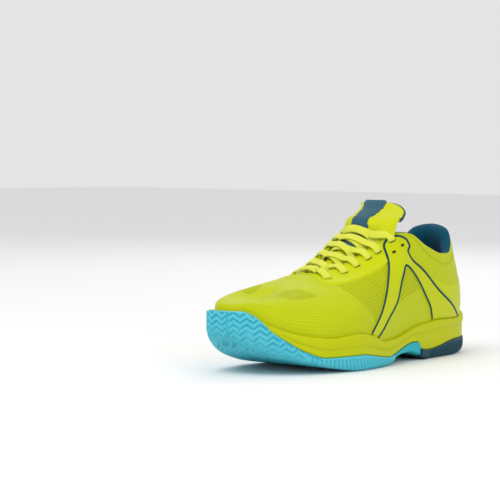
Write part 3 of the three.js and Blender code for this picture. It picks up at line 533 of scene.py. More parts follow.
class Graph:
    """One node material round a Principled shader."""

    def __init__(self, name: str) -> None:
        """Makes an empty material with its shader."""
        self.material = bpy.data.materials.new(name)
        self.material.use_nodes = True
        self.nodes = self.material.node_tree.nodes
        self.links = self.material.node_tree.links
        self.shader = self.nodes["Principled BSDF"]

    def add(self, kind: str, settings: Optional[dict] = None, **inputs) -> bpy.types.Node:
        """Adds a node.

        Args:
            kind: The node's type name.
            settings: Properties of the node.
            inputs: Socket values or sockets to link, by the socket's name with _ for a space.

        Returns:
            The new node.
        """
        node = self.nodes.new(kind)
        for key, value in (settings or {}).items():
            setattr(node, key, value)
        for key, value in inputs.items():
            self.feed(node.inputs[key.replace("_", " ")], value)
        return node

    def feed(self, socket: bpy.types.NodeSocket, value: object) -> None:
        """Links a socket to another one, or sets its value."""
        if isinstance(value, bpy.types.NodeSocket):
            self.links.new(value, socket)
        else:
            socket.default_value = value

    def math(self, operation: str, a: object, b: object = 0.0) -> bpy.types.NodeSocket:
        """Returns the result of a math node."""
        node = self.nodes.new("ShaderNodeMath")
        node.operation = operation
        self.feed(node.inputs[0], a)
        self.feed(node.inputs[1], b)
        return node.outputs[0]

    def mixed_wave(self, a: object, share_a: float, b: object, share_b: float) -> bpy.types.NodeSocket:
        """Returns two waves added in shares, raised by a half."""
        total = self.math("ADD", self.math("MULTIPLY", a, share_a), self.math("MULTIPLY", b, share_b))
        return self.math("ADD", total, 0.5)

    def blend(self, share: object, a: tuple, b: tuple) -> bpy.types.NodeSocket:
        """Returns a colour mixed from two."""
        node = self.nodes.new("ShaderNodeMix")
        node.data_type = "RGBA"
        self.feed(node.inputs[0], share)
        self.feed(node.inputs[6], a)
        self.feed(node.inputs[7], b)
        return node.outputs[2]


@dataclass(frozen=True)
class Finish:
    """One material of the shoe: its colour, gloss and fine texture.

    pitch is the size of the texture in millimetres, and depth how deep it is in millimetres.
    """

    name: str
    slot: str
    color: tuple[float, float, float]
    shade: tuple[float, float, float]
    roughness: float
    pattern: Pattern = Pattern.GRAIN
    pitch: float = 0.5
    depth: float = 0.02
    sheen: float = 0.0
    coat: float = 0.0
    specular: float = 0.13
    mottle: float = 0.35

    def height(self, graph: Graph) -> bpy.types.NodeSocket:
        """Returns the texture's height, 0 to 1, as a socket of the graph.

        Args:
            graph: The material's graph.

        Returns:
            The height's socket.
        """
        place = graph.add("ShaderNodeTexCoord").outputs["Object"]
        across = graph.add("ShaderNodeUVMap", {"uv_map": UV_NAME}).outputs["UV"]
        turns = math.tau / (self.pitch * MM)
        if self.pattern is Pattern.GRAIN:
            noise = graph.add("ShaderNodeTexNoise", Vector=place, Scale=1 / (self.pitch * MM), Detail=3.0)
            return noise.outputs["Fac"]
        if self.pattern is Pattern.BRUSHED:
            wide = graph.add("ShaderNodeMapping", Vector=across, Scale=(1.0, 2.6, 1.0))
            noise = graph.add(
                "ShaderNodeTexNoise", Vector=wide.outputs[0], Scale=1 / (self.pitch * MM), Detail=4.0,
                Distortion=0.8,
            )
            return noise.outputs["Fac"]
        split = graph.add("ShaderNodeSeparateXYZ", Vector=across)
        x = graph.math("MULTIPLY", split.outputs["X"], turns)
        y = graph.math("MULTIPLY", split.outputs["Y"], turns)
        if self.pattern is Pattern.KNIT:
            lean = graph.math("MULTIPLY", graph.math("SINE", x), 1.1)
            rows = graph.math("SINE", graph.math("ADD", y, lean))
            columns = graph.math("COSINE", graph.math("MULTIPLY", x, 2.0))
            return graph.mixed_wave(rows, 0.3, columns, 0.2)
        if self.pattern is Pattern.BRAID:
            folded = graph.math("ABSOLUTE", y)
            strands = graph.math("SINE", graph.math("ADD", x, folded))
            plies = graph.math("SINE", graph.math("MULTIPLY", graph.math("SUBTRACT", x, folded), 3.0))
            return graph.mixed_wave(strands, 0.36, plies, 0.12)
        warp = graph.math("SINE", graph.math("ADD", x, y))
        weft = graph.math("SINE", graph.math("SUBTRACT", x, graph.math("MULTIPLY", y, 0.5)))
        return graph.mixed_wave(warp, 0.3, weft, 0.2)

    def material(self) -> bpy.types.Material:
        """Returns the node material, made once for each finish."""
        known = bpy.data.materials.get(self.name)
        if known is not None:
            return known
        graph = Graph(self.name)
        shader = graph.shader
        texture = self.height(graph)
        place = graph.add("ShaderNodeTexCoord").outputs["Object"]
        cloud = graph.add("ShaderNodeTexNoise", Vector=place, Scale=38.0, Detail=2.0).outputs["Fac"]
        low, high = (*self.shade, 1.0), (*self.color, 1.0)
        contrast = graph.add("ShaderNodeMapRange", Value=texture, From_Min=0.15, From_Max=0.75)
        lift = graph.math("MULTIPLY", graph.math("SUBTRACT", cloud, 0.5), self.mottle)
        share = graph.math("ADD", contrast.outputs[0], lift)
        clipped = graph.add("ShaderNodeClamp", Value=share)
        graph.feed(shader.inputs["Base Color"], graph.blend(clipped.outputs[0], low, high))
        uneven = graph.math("MULTIPLY", graph.math("SUBTRACT", cloud, 0.5), 0.12)
        graph.feed(shader.inputs["Roughness"], graph.math("ADD", uneven, self.roughness))
        bump = graph.add("ShaderNodeBump", Height=texture, Strength=0.9, Distance=self.depth * MM)
        graph.feed(shader.inputs["Normal"], bump.outputs[0])
        for socket, value in (
            ("Specular IOR Level", self.specular), ("Sheen Weight", self.sheen), ("Sheen Roughness", 0.45),
            ("Coat Weight", self.coat), ("Coat Roughness", 0.3),
        ):
            shader.inputs[socket].default_value = value
        return graph.material


KNIT = Finish(
    "lime_knit", "lime_mesh", (0.52, 0.585, 0.002), (0.42, 0.485, 0.001), 0.5, Pattern.KNIT, 1.3, 0.05,
    sheen=0.04,
)
FILM = Finish(
    "lime_moulded_film", "lime_film", (0.53, 0.59, 0.002), (0.49, 0.55, 0.001), 0.42,
)
EYE_FILM = Finish(
    "lime_eyestay_film", "lime_film", (0.56, 0.62, 0.002), (0.52, 0.58, 0.001), 0.4,
)
FOAM = Finish(
    "lime_midsole_foam", "lime_foam", (0.51, 0.55, 0.002), (0.47, 0.51, 0.001), 0.5, Pattern.GRAIN, 0.6,
    0.03,
)
CYAN_RUBBER = Finish(
    "cyan_tread_rubber", "cyan_rubber", (0.09, 0.53, 0.64), (0.075, 0.49, 0.60), 0.5,
)
NAVY_RUBBER = Finish(
    "blue_green_heel_rubber", "navy_rubber", (0.022, 0.075, 0.105), (0.016, 0.06, 0.085), 0.5,
)
CYAN_PLATE = Finish(
    "cyan_shank_plate", "cyan_plate", (0.0, 0.42, 0.50), (0.0, 0.38, 0.45), 0.35, Pattern.GRAIN, 0.7,
    0.01, coat=0.15,
)
EDGE_LINE = Finish(
    "dark_edge_line", "navy_trim", (0.010, 0.065, 0.075), (0.008, 0.05, 0.06), 0.4, Pattern.GRAIN, 0.5,
    0.01,
)
TONE_LINE = Finish(
    "lime_edge_line", "lime_film", (0.49, 0.55, 0.002), (0.45, 0.51, 0.001), 0.4, Pattern.GRAIN, 0.5,
    0.01,
)
WEBBING = Finish(
    "blue_green_webbing", "navy_trim", (0.035, 0.125, 0.175), (0.02, 0.075, 0.11), 0.65, Pattern.TWILL,
    0.9, 0.12, sheen=0.1,
)
BINDING = Finish(
    "dark_binding_tape", "navy_trim", (0.02, 0.075, 0.09), (0.012, 0.045, 0.055), 0.6, Pattern.TWILL, 0.7,
    0.08,
)
LINING = Finish(
    "petrol_brushed_lining", "petrol_lining", (0.003, 0.085, 0.145), (0.001, 0.05, 0.09), 0.8,
    Pattern.KNIT, 1.1, 0.14, sheen=0.06,
)
SOCK_FABRIC = Finish(
    "petrol_sockliner_fabric", "petrol_lining", (0.006, 0.11, 0.18), (0.003, 0.08, 0.135), 0.85,
    Pattern.BRUSHED, 1.2, 0.1, sheen=0.2,
)
LACE_BRAID = Finish(
    "pale_lace_braid", "pale_lace", (0.74, 0.77, 0.075), (0.62, 0.66, 0.04), 0.7, Pattern.BRAID, 1.6,
    0.22, sheen=0.15,
)
# Painted shade: a darker lime put on the low gaps between the mesh ribs and on the vent's sunk floor.
MESH_GAP_PAINTED_SHADE = Finish(
    "lime_mesh_gap_painted_shade", "lime_mesh", (0.40, 0.45, 0.002), (0.34, 0.385, 0.001), 0.6, Pattern.GRAIN, 0.6,
    0.02,
)
TONGUE_KNIT = Finish(
    "lime_tongue_knit", "lime_mesh", (0.60, 0.64, 0.006), (0.53, 0.57, 0.004), 0.6, Pattern.KNIT, 1.0,
    0.06, sheen=0.08,
)
THREAD = Finish(
    "lime_thread", "lime_mesh", (0.50, 0.54, 0.01), (0.40, 0.44, 0.006), 0.6, Pattern.GRAIN, 0.3, 0.02,
)
TIP_PLASTIC = Finish(
    "lace_tip_sleeve", "lace_tip", (0.82, 0.88, 0.20), (0.78, 0.84, 0.16), 0.25, Pattern.GRAIN, 0.8, 0.01,
    coat=0.4,
)
BOARD = Finish(
    "stiffener_board", "board", (0.70, 0.67, 0.58), (0.60, 0.57, 0.49), 0.9, Pattern.BRUSHED, 0.8, 0.06,
)
# Painted shadow: dark discs set inside the lace slots stand for the shade down in the holes.
SHADOW = Finish(
    "eyelet_painted_shadow", "navy_trim", (0.05, 0.06, 0.01), (0.03, 0.04, 0.008), 0.8, Pattern.GRAIN, 0.6, 0.02,
)


# ------------------------------------------------------------------ making meshes


class Body(Enum):
    """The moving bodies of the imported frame."""

    SHOE = "root"
    TONGUE = "tongue_tab"
    SOCKLINER = "sockliner"


def arc_map(points: Array) -> Array:
    """Returns, for a grid of points, the lengths along its columns and rows in metres."""
    rows, columns = points.shape[:2]
    across, up = np.meshgrid(travel(points[rows // 2]), travel(points[:, columns // 2]))
    return np.stack([across, up], -1) * MM


def quads(ids: Array) -> Array:
    """Returns the faces of a grid of vertex numbers."""
    return np.stack([ids[:-1, :-1], ids[:-1, 1:], ids[1:, 1:], ids[1:, :-1]], -1).reshape(-1, 4)


def new_mesh(
    name: str, points: Array, faces: Array, places: Array, finishes: Sequence[Finish],
    faces_finish: Optional[Array] = None, flat: Optional[Array] = None, weld: float = 0.0,
) -> bpy.types.Object:
    """Makes an object from points in design millimetres.

    Args:
        name: The object's name.
        points: One row for each vertex.
        faces: Four vertex numbers for each face.
        places: Texture place of each vertex, in metres.
        finishes: Finishes, in the order of the object's material slots.
        faces_finish: Number of the finish of each face.
        flat: True for each face that isn't smoothed into its neighbours.
        weld: Vertices nearer than this, in millimetres, become one.

    Returns:
        The new object.
    """
    mesh = bpy.data.meshes.new(name)
    mesh.from_pydata(((points + SHIFT) * MM).tolist(), [], faces.tolist())
    mesh.polygons.foreach_set("use_smooth", np.ones(len(faces), bool) if flat is None else ~flat)
    if faces_finish is not None:
        mesh.polygons.foreach_set("material_index", faces_finish.astype(np.int32))
    layer = mesh.uv_layers.new(name=UV_NAME)
    layer.uv.foreach_set("vector", places[faces.ravel()].astype(np.float32).ravel())
    editing = bmesh.new()
    editing.from_mesh(mesh)
    if weld:
        bmesh.ops.remove_doubles(editing, verts=editing.verts, dist=weld * MM)
        bmesh.ops.dissolve_degenerate(editing, edges=editing.edges, dist=1e-7)
    bmesh.ops.recalc_face_normals(editing, faces=editing.faces)
    editing.to_mesh(mesh)
    editing.free()
    for finish in finishes:
        mesh.materials.append(finish.material())
    piece = bpy.data.objects.new(name, mesh)
    bpy.context.scene.collection.objects.link(piece)
    return piece


def shell(
    name: str, outer: Array, inner: Array, finishes: Sequence[Finish], walls: str = "bottom top left right",
    weld: float = 0.0,
) -> bpy.types.Object:
    """Makes a closed sheet between two grids of points.

    Args:
        name: The object's name.
        outer: Grid of points of the outer face, rows by columns.
        inner: Grid of the same size for the inner face.
        finishes: The outer finish and, where it differs, the inner one.
        walls: The borders that get a wall: bottom is the first row, left the first column.
        weld: Vertices nearer than this, in millimetres, become one.

    Returns:
        The new object.
    """
    rows, columns = outer.shape[:2]
    ids = np.arange(rows * columns).reshape(rows, columns)
    back = ids + rows * columns
    borders = {
        "bottom": (ids[0, ::-1], back[0, ::-1]), "top": (ids[-1], back[-1]),
        "left": (ids[:, 0], back[:, 0]), "right": (ids[::-1, -1], back[::-1, -1]),
    }
    faces = [quads(ids), quads(back)[:, ::-1]]
    for border in walls.split():
        near, far = borders[border]
        faces.append(np.stack([near[:-1], near[1:], far[1:], far[:-1]], -1))
    kinds = np.repeat(np.arange(len(faces)), [len(f) for f in faces])
    inside = np.where(kinds == 1, len(finishes) - 1, 0)
    points = np.concatenate([outer.reshape(-1, 3), inner.reshape(-1, 3)])
    places = np.tile(arc_map(outer).reshape(-1, 2), (2, 1))
    return new_mesh(name, points, np.concatenate(faces), places, finishes, inside, kinds > 1, weld)


def sweep(
    name: str, rings: Array, finishes: Sequence[Finish], ring_finish: Optional[Array] = None,
    closed: bool = False,
) -> bpy.types.Object:
    """Makes a closed form from a row of rings of points.

    Args:
        name: The object's name.
        rings: Points, rings by points round a ring.
        finishes: Finishes of the object.
        ring_finish: Number of the finish of each strip round the ring.
        closed: True if the last ring joins the first.

    Returns:
        The new object.
    """
    count, around = rings.shape[:2]
    ids = np.arange(count * around).reshape(count, around)
    loop = np.concatenate([ids, ids[:, :1]], 1)
    if closed:
        loop = np.concatenate([loop, loop[:1]], 0)
    faces = [quads(loop)]
    kinds = np.zeros(around, int) if ring_finish is None else ring_finish
    face_kinds = [np.tile(kinds, len(loop) - 1)]
    points, places = rings.reshape(-1, 3), arc_map(rings)[..., ::-1]
    places = places - [0, 0.5 * places[..., 1].max()]
    flat_places = places.reshape(-1, 2)
    if not closed:
        middles = np.stack([rings[0].mean(0), rings[-1].mean(0)])
        points = np.concatenate([points, middles])
        flat_places = np.concatenate([flat_places, flat_places[[0, -1]]])
        for ring, centre in ((loop[0], count * around), (loop[-1], count * around + 1)):
            pairs = np.stack([ring[:-1:2], ring[1::2], np.append(ring[2::2], ring[0])[: around // 2]], -1)
            cap = np.concatenate([pairs, np.full((len(pairs), 1), centre)], 1)
            faces.append(cap)
            face_kinds.append(np.zeros(len(cap), int))
    return new_mesh(name, points, np.concatenate(faces), flat_places, finishes, np.concatenate(face_kinds))


def flat_section(width: float, thickness: float, count: int) -> Array:
    """Returns the points round a flat strap's section, as shares across and up."""
    turn = circle(count)
    across = np.sign(np.cos(turn)) * np.abs(np.cos(turn)) ** 0.45
    up = np.sign(np.sin(turn)) * np.abs(np.sin(turn)) ** 0.8
    return np.stack([across * width / 2, up * thickness / 2], -1)


def strap_rings(at: Array, across: Array, section: Array) -> Array:
    """Returns rings of a section carried along a path.

    Args:
        at: Points of the path.
        across: Direction of the section's first axis at each point.
        section: Points round the section, as (across, up), for all points or for each.

    Returns:
        The rings' points.
    """
    along = unit(np.gradient(at, axis=0))
    side = unit(across - along * np.sum(across * along, -1, keepdims=True))
    up = np.cross(along, side)
    section = np.broadcast_to(section, (len(at), *section.shape[-2:]))
    return at[:, None] + side[:, None] * section[..., :1] + up[:, None] * section[..., 1:]


def resample(points: Array, step: float) -> tuple[Array, Array]:
    """Returns points on a smooth curve through the given ones, and their place along the list.

    Args:
        points: A row or grid of points.
        step: Distance between two new points.

    Returns:
        Points and places.
    """
    gaps = np.sqrt(np.linalg.norm(np.diff(points, axis=0), axis=1))
    knots = np.concatenate([[0], np.cumsum(gaps)])
    fine = np.linspace(0, knots[-1], 40 * len(points))
    dense = np.stack([catmull(knots, points[:, k], fine) for k in range(3)], -1)
    length = travel(dense)
    even = np.linspace(0, length[-1], max(int(length[-1] / step), 4))
    index = np.interp(np.interp(even, length, fine), knots, np.arange(len(points)))
    return between(even, length, dense), index


def catmull(knots: Array, values: Array, fine: Array) -> Array:
    """Returns a cubic curve through values at knots, with slopes from each point's neighbours."""
    return cubic(knots, values, np.gradient(values, knots), fine)


def joined(name: str, parts: Sequence[bpy.types.Object], weld: float = 0.0) -> bpy.types.Object:
    """Makes one object of several.

    Args:
        name: The object's name.
        parts: The objects; they become one.
        weld: Vertices nearer than this, in millimetres, become one.

    Returns:
        The one object.
    """
    editing = bmesh.new()
    for part in parts:
        editing.from_mesh(part.data)
    if weld:
        bmesh.ops.remove_doubles(editing, verts=editing.verts, dist=weld * MM)
    mesh = parts[0].data
    editing.to_mesh(mesh)
    editing.free()
    for part in parts[1:]:
        bpy.data.objects.remove(part)
    parts[0].name = name
    return parts[0]


def stitches(name: str, path: Array, out: Array, length: float, gap: float) -> bpy.types.Object:
    """Makes a row of stitches, each a thread that dips into the fabric at its ends.

    Args:
        name: The object's name.
        path: Points that the seam follows, on the surface.
        out: The surface's outward direction at each point.
        length: Length of a stitch, in millimetres.
        gap: Distance between two stitches, in millimetres.

    Returns:
        The new object.
    """
    run = travel(path)
    starts = np.arange(0.5, run[-1] - length, length + gap)
    turn = circle(6)
    steps = np.linspace(0, 1, 7)
    all_points, all_faces = [], []
    for number, start in enumerate(starts):
        place = start + steps * length
        up = unit(between(place, run, out))
        at = between(place, run, path) + up * (0.42 * np.sin(np.pi * steps) ** 0.6 - 0.2)[:, None]
        side = unit(np.cross(np.gradient(at, axis=0), up))
        radius = 0.34 * np.sin(np.pi * (0.08 + 0.84 * steps)) ** 0.5
        ring = side[:, None] * np.cos(turn)[:, None] + up[:, None] * np.sin(turn)[:, None]
        all_points.append((at[:, None] + ring * radius[:, None, None]).reshape(-1, 3))
        ids = np.arange(len(steps) * len(turn)).reshape(len(steps), -1) + number * len(steps) * len(turn)
        loop = np.concatenate([ids, ids[:, :1]], 1)
        ends = [ring[corners] for corners in ([0, 1, 2, 3], [0, 3, 4, 5]) for ring in (ids[0], ids[-1])]
        all_faces.append(np.concatenate([quads(loop), np.array(ends)]))
    points = np.concatenate(all_points)
    return new_mesh(name, points, np.concatenate(all_faces), points[:, :2] * MM, [THREAD])


def settle(
    piece: bpy.types.Object, body: Body = Body.SHOE, replaces: Sequence[str] = (),
) -> bpy.types.Object:
    """Puts a piece on its body and hides the nodes it stands for.

    Args:
        piece: The piece.
        body: The body that it rides on.
        replaces: The CAD nodes it stands for.

    Returns:
        The same piece.
    """
    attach(piece, body.value)
    if replaces:
        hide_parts(*replaces)
    nodes = ", ".join(replaces) or "detail"
    log.info("%s: %d faces, stands for %s", piece.name, len(piece.data.polygons), nodes)
    return piece


# ------------------------------------------------------------------ sole


@dataclass
class SoleUnit:
    """Tread rubber, shank plate and foam midsole. Sizes are in millimetres."""

    form: Form
    lip: float = 1.1
    corner_inset: Curve = Curve([(0, 9), (0.12, 9), (0.25, 6), (0.4, 3.2), (1, 3.2)])
    corner_rise: Curve = Curve([(0, 14), (0.12, 13), (0.25, 8), (0.4, 3.2), (1, 3.2)])
    tread_depth: float = 1.6
    band_pitch: float = 4.7
    wave_length: float = 10.4
    wave_height: float = 1.9
    rib_pitch: float = 4.1
    crease_depth: float = 0.7
    groove_depth: float = 1.1
    bulge: float = 0.8
    crease_place: Curve = Curve([
        (0, 0.45), (0.3, 0.40), (0.45, 0.42), (0.56, 0.5), (0.66, 0.62), (0.8, 0.6), (1, 0.55),
    ])
    band_split: float = 9.0
    ribs_start: float = 0.262
    crescent_centre: tuple[float, float] = (88.0, 30.0)
    crescent_radius: float = 22.0
    floor_pitch: float = 6.2
    floor_wave: float = 15.0
    floor_wave_height: float = 3.4
    flat_inset: float = 9.5
    plate_low: float = 0.8
    plate_high: float = 3.0
    plate_inset: float = 9.0

    def wall_rows(self, u: Array, rows: int) -> tuple[Array, Array, Array]:
        """Returns inset, height and share of the wall, for rows up the rubber's side.

        Args:
            u: Places round the shoe.
            rows: Number of rows, from the flat underside to the lip.

        Returns:
            Arrays of rows by places.
        """
        low = self.form.floor(self.form.rim(u)[..., 0])
        high = self.form.cover(u)
        s = side_of(u)[1]
        across, up = self.corner_inset(s), np.minimum(self.corner_rise(s), 0.5 * (high - low))
        turn = np.linspace(0, np.pi / 2, 14)[:, None]
        corner_inset = across * (1 - np.sin(turn))
        corner_z = low + up * (1 - np.cos(turn))
        share = np.linspace(0, 1, rows)[1:, None]
        wall_top = np.maximum(high - self.lip, low + up + 0.2)
        wall_z = lerp(low + up, wall_top, share)
        lip_turn = np.linspace(0, np.pi / 2, 4)[1:, None]
        lip_inset = self.lip * (1 - np.cos(lip_turn)) + 0 * u
        lip_z = wall_top + self.lip * np.sin(lip_turn)
        inset = np.concatenate([corner_inset, 0 * wall_z, lip_inset])
        z = np.concatenate([corner_z, wall_z, lip_z])
        return inset, z, (z - low) / np.maximum(high - low, 1e-6)

    def bumper_relief(self, u: Array, z: Array, share: Array) -> Array:
        """Returns how deep the forefoot wall is cut: stacked zigzag bands, then upright ribs.

        Args:
            u: Places round the shoe.
            z: Heights, in millimetres.
            share: Places up the wall, 0 to 1.

        Returns:
            Depths, in millimetres.
        """
        side, s = side_of(u)
        run = self.form.rim_length(u)
        from_split = run - self.band_split
        bands = np.where(from_split > 0, from_split, -from_split + self.wave_length * 0.5)
        wave = zigzag(bands / self.wave_length) * self.wave_height
        toe = groove((z - wave + np.where(from_split > 0, 0, 0.5 * self.band_pitch)) / self.band_pitch, 0.34)
        seam = smooth(np.abs(from_split), 1.3, 0.4)
        toe = np.maximum(toe, seam) * smooth(share, 0.985, 0.93) * smooth(share, 0.02, 0.08)
        lean = 0.35 * z + 1.2 * np.sin(z / 3.2)
        ribs = groove((run + lean * side) / self.rib_pitch, 0.42)
        ribs = ribs * smooth(share, np.where(side > 0, 0.88, 0.46), np.where(side > 0, 0.7, 0.3))
        ribs = ribs * smooth(s, 0.515, 0.49)
        switch = smooth(s, self.ribs_start, self.ribs_start + 0.01)
        x, high = self.crescent_centre
        arc = np.hypot(self.form.half * np.cos(np.pi * s) - x, (z - high) * 1.25) - self.crescent_radius
        crescent = smooth(np.abs(arc), 1.5, 0.6) * smooth(s, 0.2, 0.24) * smooth(s, 0.34, 0.3)
        crescent = crescent * smooth(share, 0.95, 0.8)
        toe_side = smooth(s, self.ribs_start, self.ribs_start - 0.012)
        return np.maximum(toe * toe_side + ribs * switch, crescent) * self.tread_depth

    def heel_relief(self, u: Array, z: Array, share: Array) -> Array:
        """Returns how deep the heel wall is cut: upright ribs that lean to the back."""
        run = self.form.rim_length(np.where(u > 1, u - 2, u))
        lean = 0.22 * z * side_of(u)[0]
        ribs = groove((run + lean) / self.rib_pitch, 0.5) * smooth(share, 0.9, 0.74)
        return ribs * smooth(side_of(u)[1], 0.63, 0.66) * self.tread_depth * 1.2

    def floor_relief(self, points: Array) -> Array:
        """Returns how deep the underside is cut: a herringbone tread."""
        wave = zigzag(points[..., 1] / self.floor_wave) * self.floor_wave_height
        return groove((points[..., 0] + wave) / self.floor_pitch, 0.36) * self.tread_depth

    def tread(self, name: str, columns: Array, relief: Callable, finish: Finish, wall_rows: int) -> None:
        """Makes one tread: underside, corner, side wall and lip.

        Args:
            name: Name of the CAD node it stands for.
            columns: Places round the shoe.
            relief: Depth of the pattern on the wall.
            finish: The rubber.
            wall_rows: Rows up the wall.
        """
        form = self.form
        reach = np.linspace(0, 1, 26)[:, None]
        steps = np.linspace(0, 1, 6)[1:-1, None]
        corner = self.corner_inset(side_of(columns)[1])
        bottom = form.floor_point(columns, reach, self.flat_inset, form.floor)
        edge = form.rim_point(columns[None], lerp(self.flat_inset, corner, steps), 0.0)
        edge[..., 2] = form.floor(edge[..., 0])
        bottom = np.concatenate([bottom, edge])
        fade = smooth(np.arange(len(bottom))[:, None], len(bottom) - 1, len(bottom) - 4)
        bottom[..., 2] += self.floor_relief(bottom) * fade
        inset, z, share = self.wall_rows(columns, wall_rows)
        wide = np.broadcast_to(columns, z.shape)
        depth = relief(wide, z, share)
        wall = form.rim_point(wide, inset + depth, z)
        outer = np.concatenate([bottom, wall])

        def raised(x: Array) -> Array:
            """Returns the height of the rubber's inner face."""
            return form.floor(x) + form.rubber

        inner_bottom = form.floor_point(columns, reach, self.flat_inset, raised)
        inner_inset = lerp(self.flat_inset, corner + form.rubber_wall, steps)
        inner_edge = form.rim_point(columns[None], inner_inset, 0.0)
        inner_edge[..., 2] = raised(inner_edge[..., 0])
        low = raised(form.rim(columns)[..., 0])
        inner_wall = form.rim_point(wide, inset + form.rubber_wall, np.clip(z, low, form.cover(columns)))
        inner = np.concatenate([inner_bottom, inner_edge, inner_wall])
        piece = shell(name + "_rubber", outer, inner, [finish], "top left right", weld=0.01)
        settle(piece, Body.SHOE, [name])

    def shank(self) -> None:
        """Makes the springy plate under the arch, with shallow ribs along it."""
        form = self.form
        places = np.linspace(form.shank_start, form.shank_end, 60)
        parts = []
        for side in (1, -1):
            columns = places if side > 0 else -places[::-1]
            reach = np.linspace(0, 1, 16)[:, None]
            outer = form.floor_point(
                columns, reach, self.plate_inset, lambda x: form.floor(x) + self.plate_low,
            )
            outer[..., 2] += 0.5 * groove(outer[..., 1] / 8.0, 0.3) * smooth(reach, 1, 0.8)
            inner = form.floor_point(
                columns, reach, self.plate_inset, lambda x: form.floor(x) + self.plate_high,
            )
            low = form.floor(form.rim(columns)[..., 0]) + self.plate_low
            high = form.cover(columns) - 0.35
            share = np.linspace(0, 1, 18)[1:, None]
            turn = np.clip(share * 3, 0, 1) * np.pi / 2
            inset = 0.9 + 5.0 * (1 - np.sin(turn)) + 0.5 * np.sin(np.pi * share)
            wide, z = columns[None] + 0 * share, lerp(low, high, share**1.4)
            outer = np.concatenate([outer, form.rim_point(wide, inset, z)])
            inner = np.concatenate([inner, form.rim_point(wide, 2.9, np.maximum(z, low + 1.8))])
            parts.append(shell("shank_part", outer, inner, [CYAN_PLATE], "top left right", weld=0.01))
        settle(joined("midfoot_shank_plate", parts), Body.SHOE, ["midfoot_shank"])

    def midsole(self) -> None:
        """Makes the foam unit: its side wall bulges, with a crease along it and a groove at the top."""
        form = self.form
        columns = vary((-1, -0.6, 110), (-0.6, 0.6, 420), (0.6, 1, 110))[:-1]
        s = side_of(columns)[1]
        lip, cover = form.feather(columns), form.cover(columns)
        ledge = np.minimum(cover + 0.1, lip - 0.2)
        tall = smooth(lip - ledge, 1.5, 9.0)
        share = np.linspace(0, 1, 40)[:, None]
        crease_at = self.crease_place(s)
        crease = smooth(np.abs(share - crease_at), 0.09, 0.0) * self.crease_depth
        step = smooth(share, crease_at + 0.02, crease_at - 0.10) * 0.3
        swell = np.sin(np.pi * np.clip((share - crease_at) / (1 - crease_at), 0, 1)) * self.bulge
        foot = smooth(share, 0.06, 0.0) * 0.8
        feather = smooth(share, 0.93, 1.0) * self.groove_depth + smooth(share, 0.985, 1.0) * 1.6
        inset = (crease + step - swell * 0.7) * smooth(s, 0.16, 0.24) * tall + foot * tall + feather
        inset = np.maximum(inset, -0.6) + 0.7 + (1 - tall) * 1.6
        wide = np.broadcast_to(columns, (len(share), len(columns)))
        wall = form.rim_point(wide, inset, lerp(ledge, lip, share))
        tuck = np.clip(share * 1.25 - 0.25, 0, 1)
        bed_edge = form.feather_inset(s) + form.skirt_tuck
        inner_inset = form.feather_inset(s) + form.skirt_tuck * (1 - tuck) - 0.1
        height = np.minimum(lerp(form.bed(form.rim(columns)[..., 0]), lip, tuck), lip)
        inner_wall = form.rim_point(wide, inner_inset, height)
        reach = np.linspace(0, 1, 12)[:, None]
        rubber_inset = form.rubber_wall + self.corner_inset(s) + 0.5
        base = form.floor_point(columns, reach, rubber_inset, lambda x: form.floor(x) + form.rubber + 0.3)
        rise = np.linspace(0, 1, 8)[1:, None]
        base_inset = lerp(rubber_inset, form.rubber_wall + 0.4, rise**0.5)
        base_wall = form.rim_point(wide[:len(rise)], base_inset, lerp(base[-1, :, 2], ledge - 0.1, rise))
        bed = form.floor_point(columns, reach, bed_edge, form.bed)
        outer = np.concatenate([base, base_wall, wall])
        inner = np.concatenate([bed, np.repeat(inner_wall[:1], len(rise), 0), inner_wall])
        outer = np.concatenate([outer, outer[:, :1]], 1)
        inner = np.concatenate([inner, inner[:, :1]], 1)
        piece = shell("midsole_foam", outer, inner, [FOAM], "top", weld=0.02)
        settle(piece, Body.SHOE, ["midsole"])

    def build(self) -> None:
        """Makes every piece of the sole."""
        form = self.form
        toe = vary((-form.forefoot_end, -0.24, 260), (-0.24, 0.24, 420), (0.24, form.forefoot_end, 260))
        self.tread("outsole_forefoot", toe, self.bumper_relief, CYAN_RUBBER, 52)
        heel = vary((form.heel_start, 2 - form.heel_start, 520))
        self.tread("outsole_heel", heel, self.heel_relief, NAVY_RUBBER, 22)
        self.shank()
        self.midsole()


# ------------------------------------------------------------------ studio


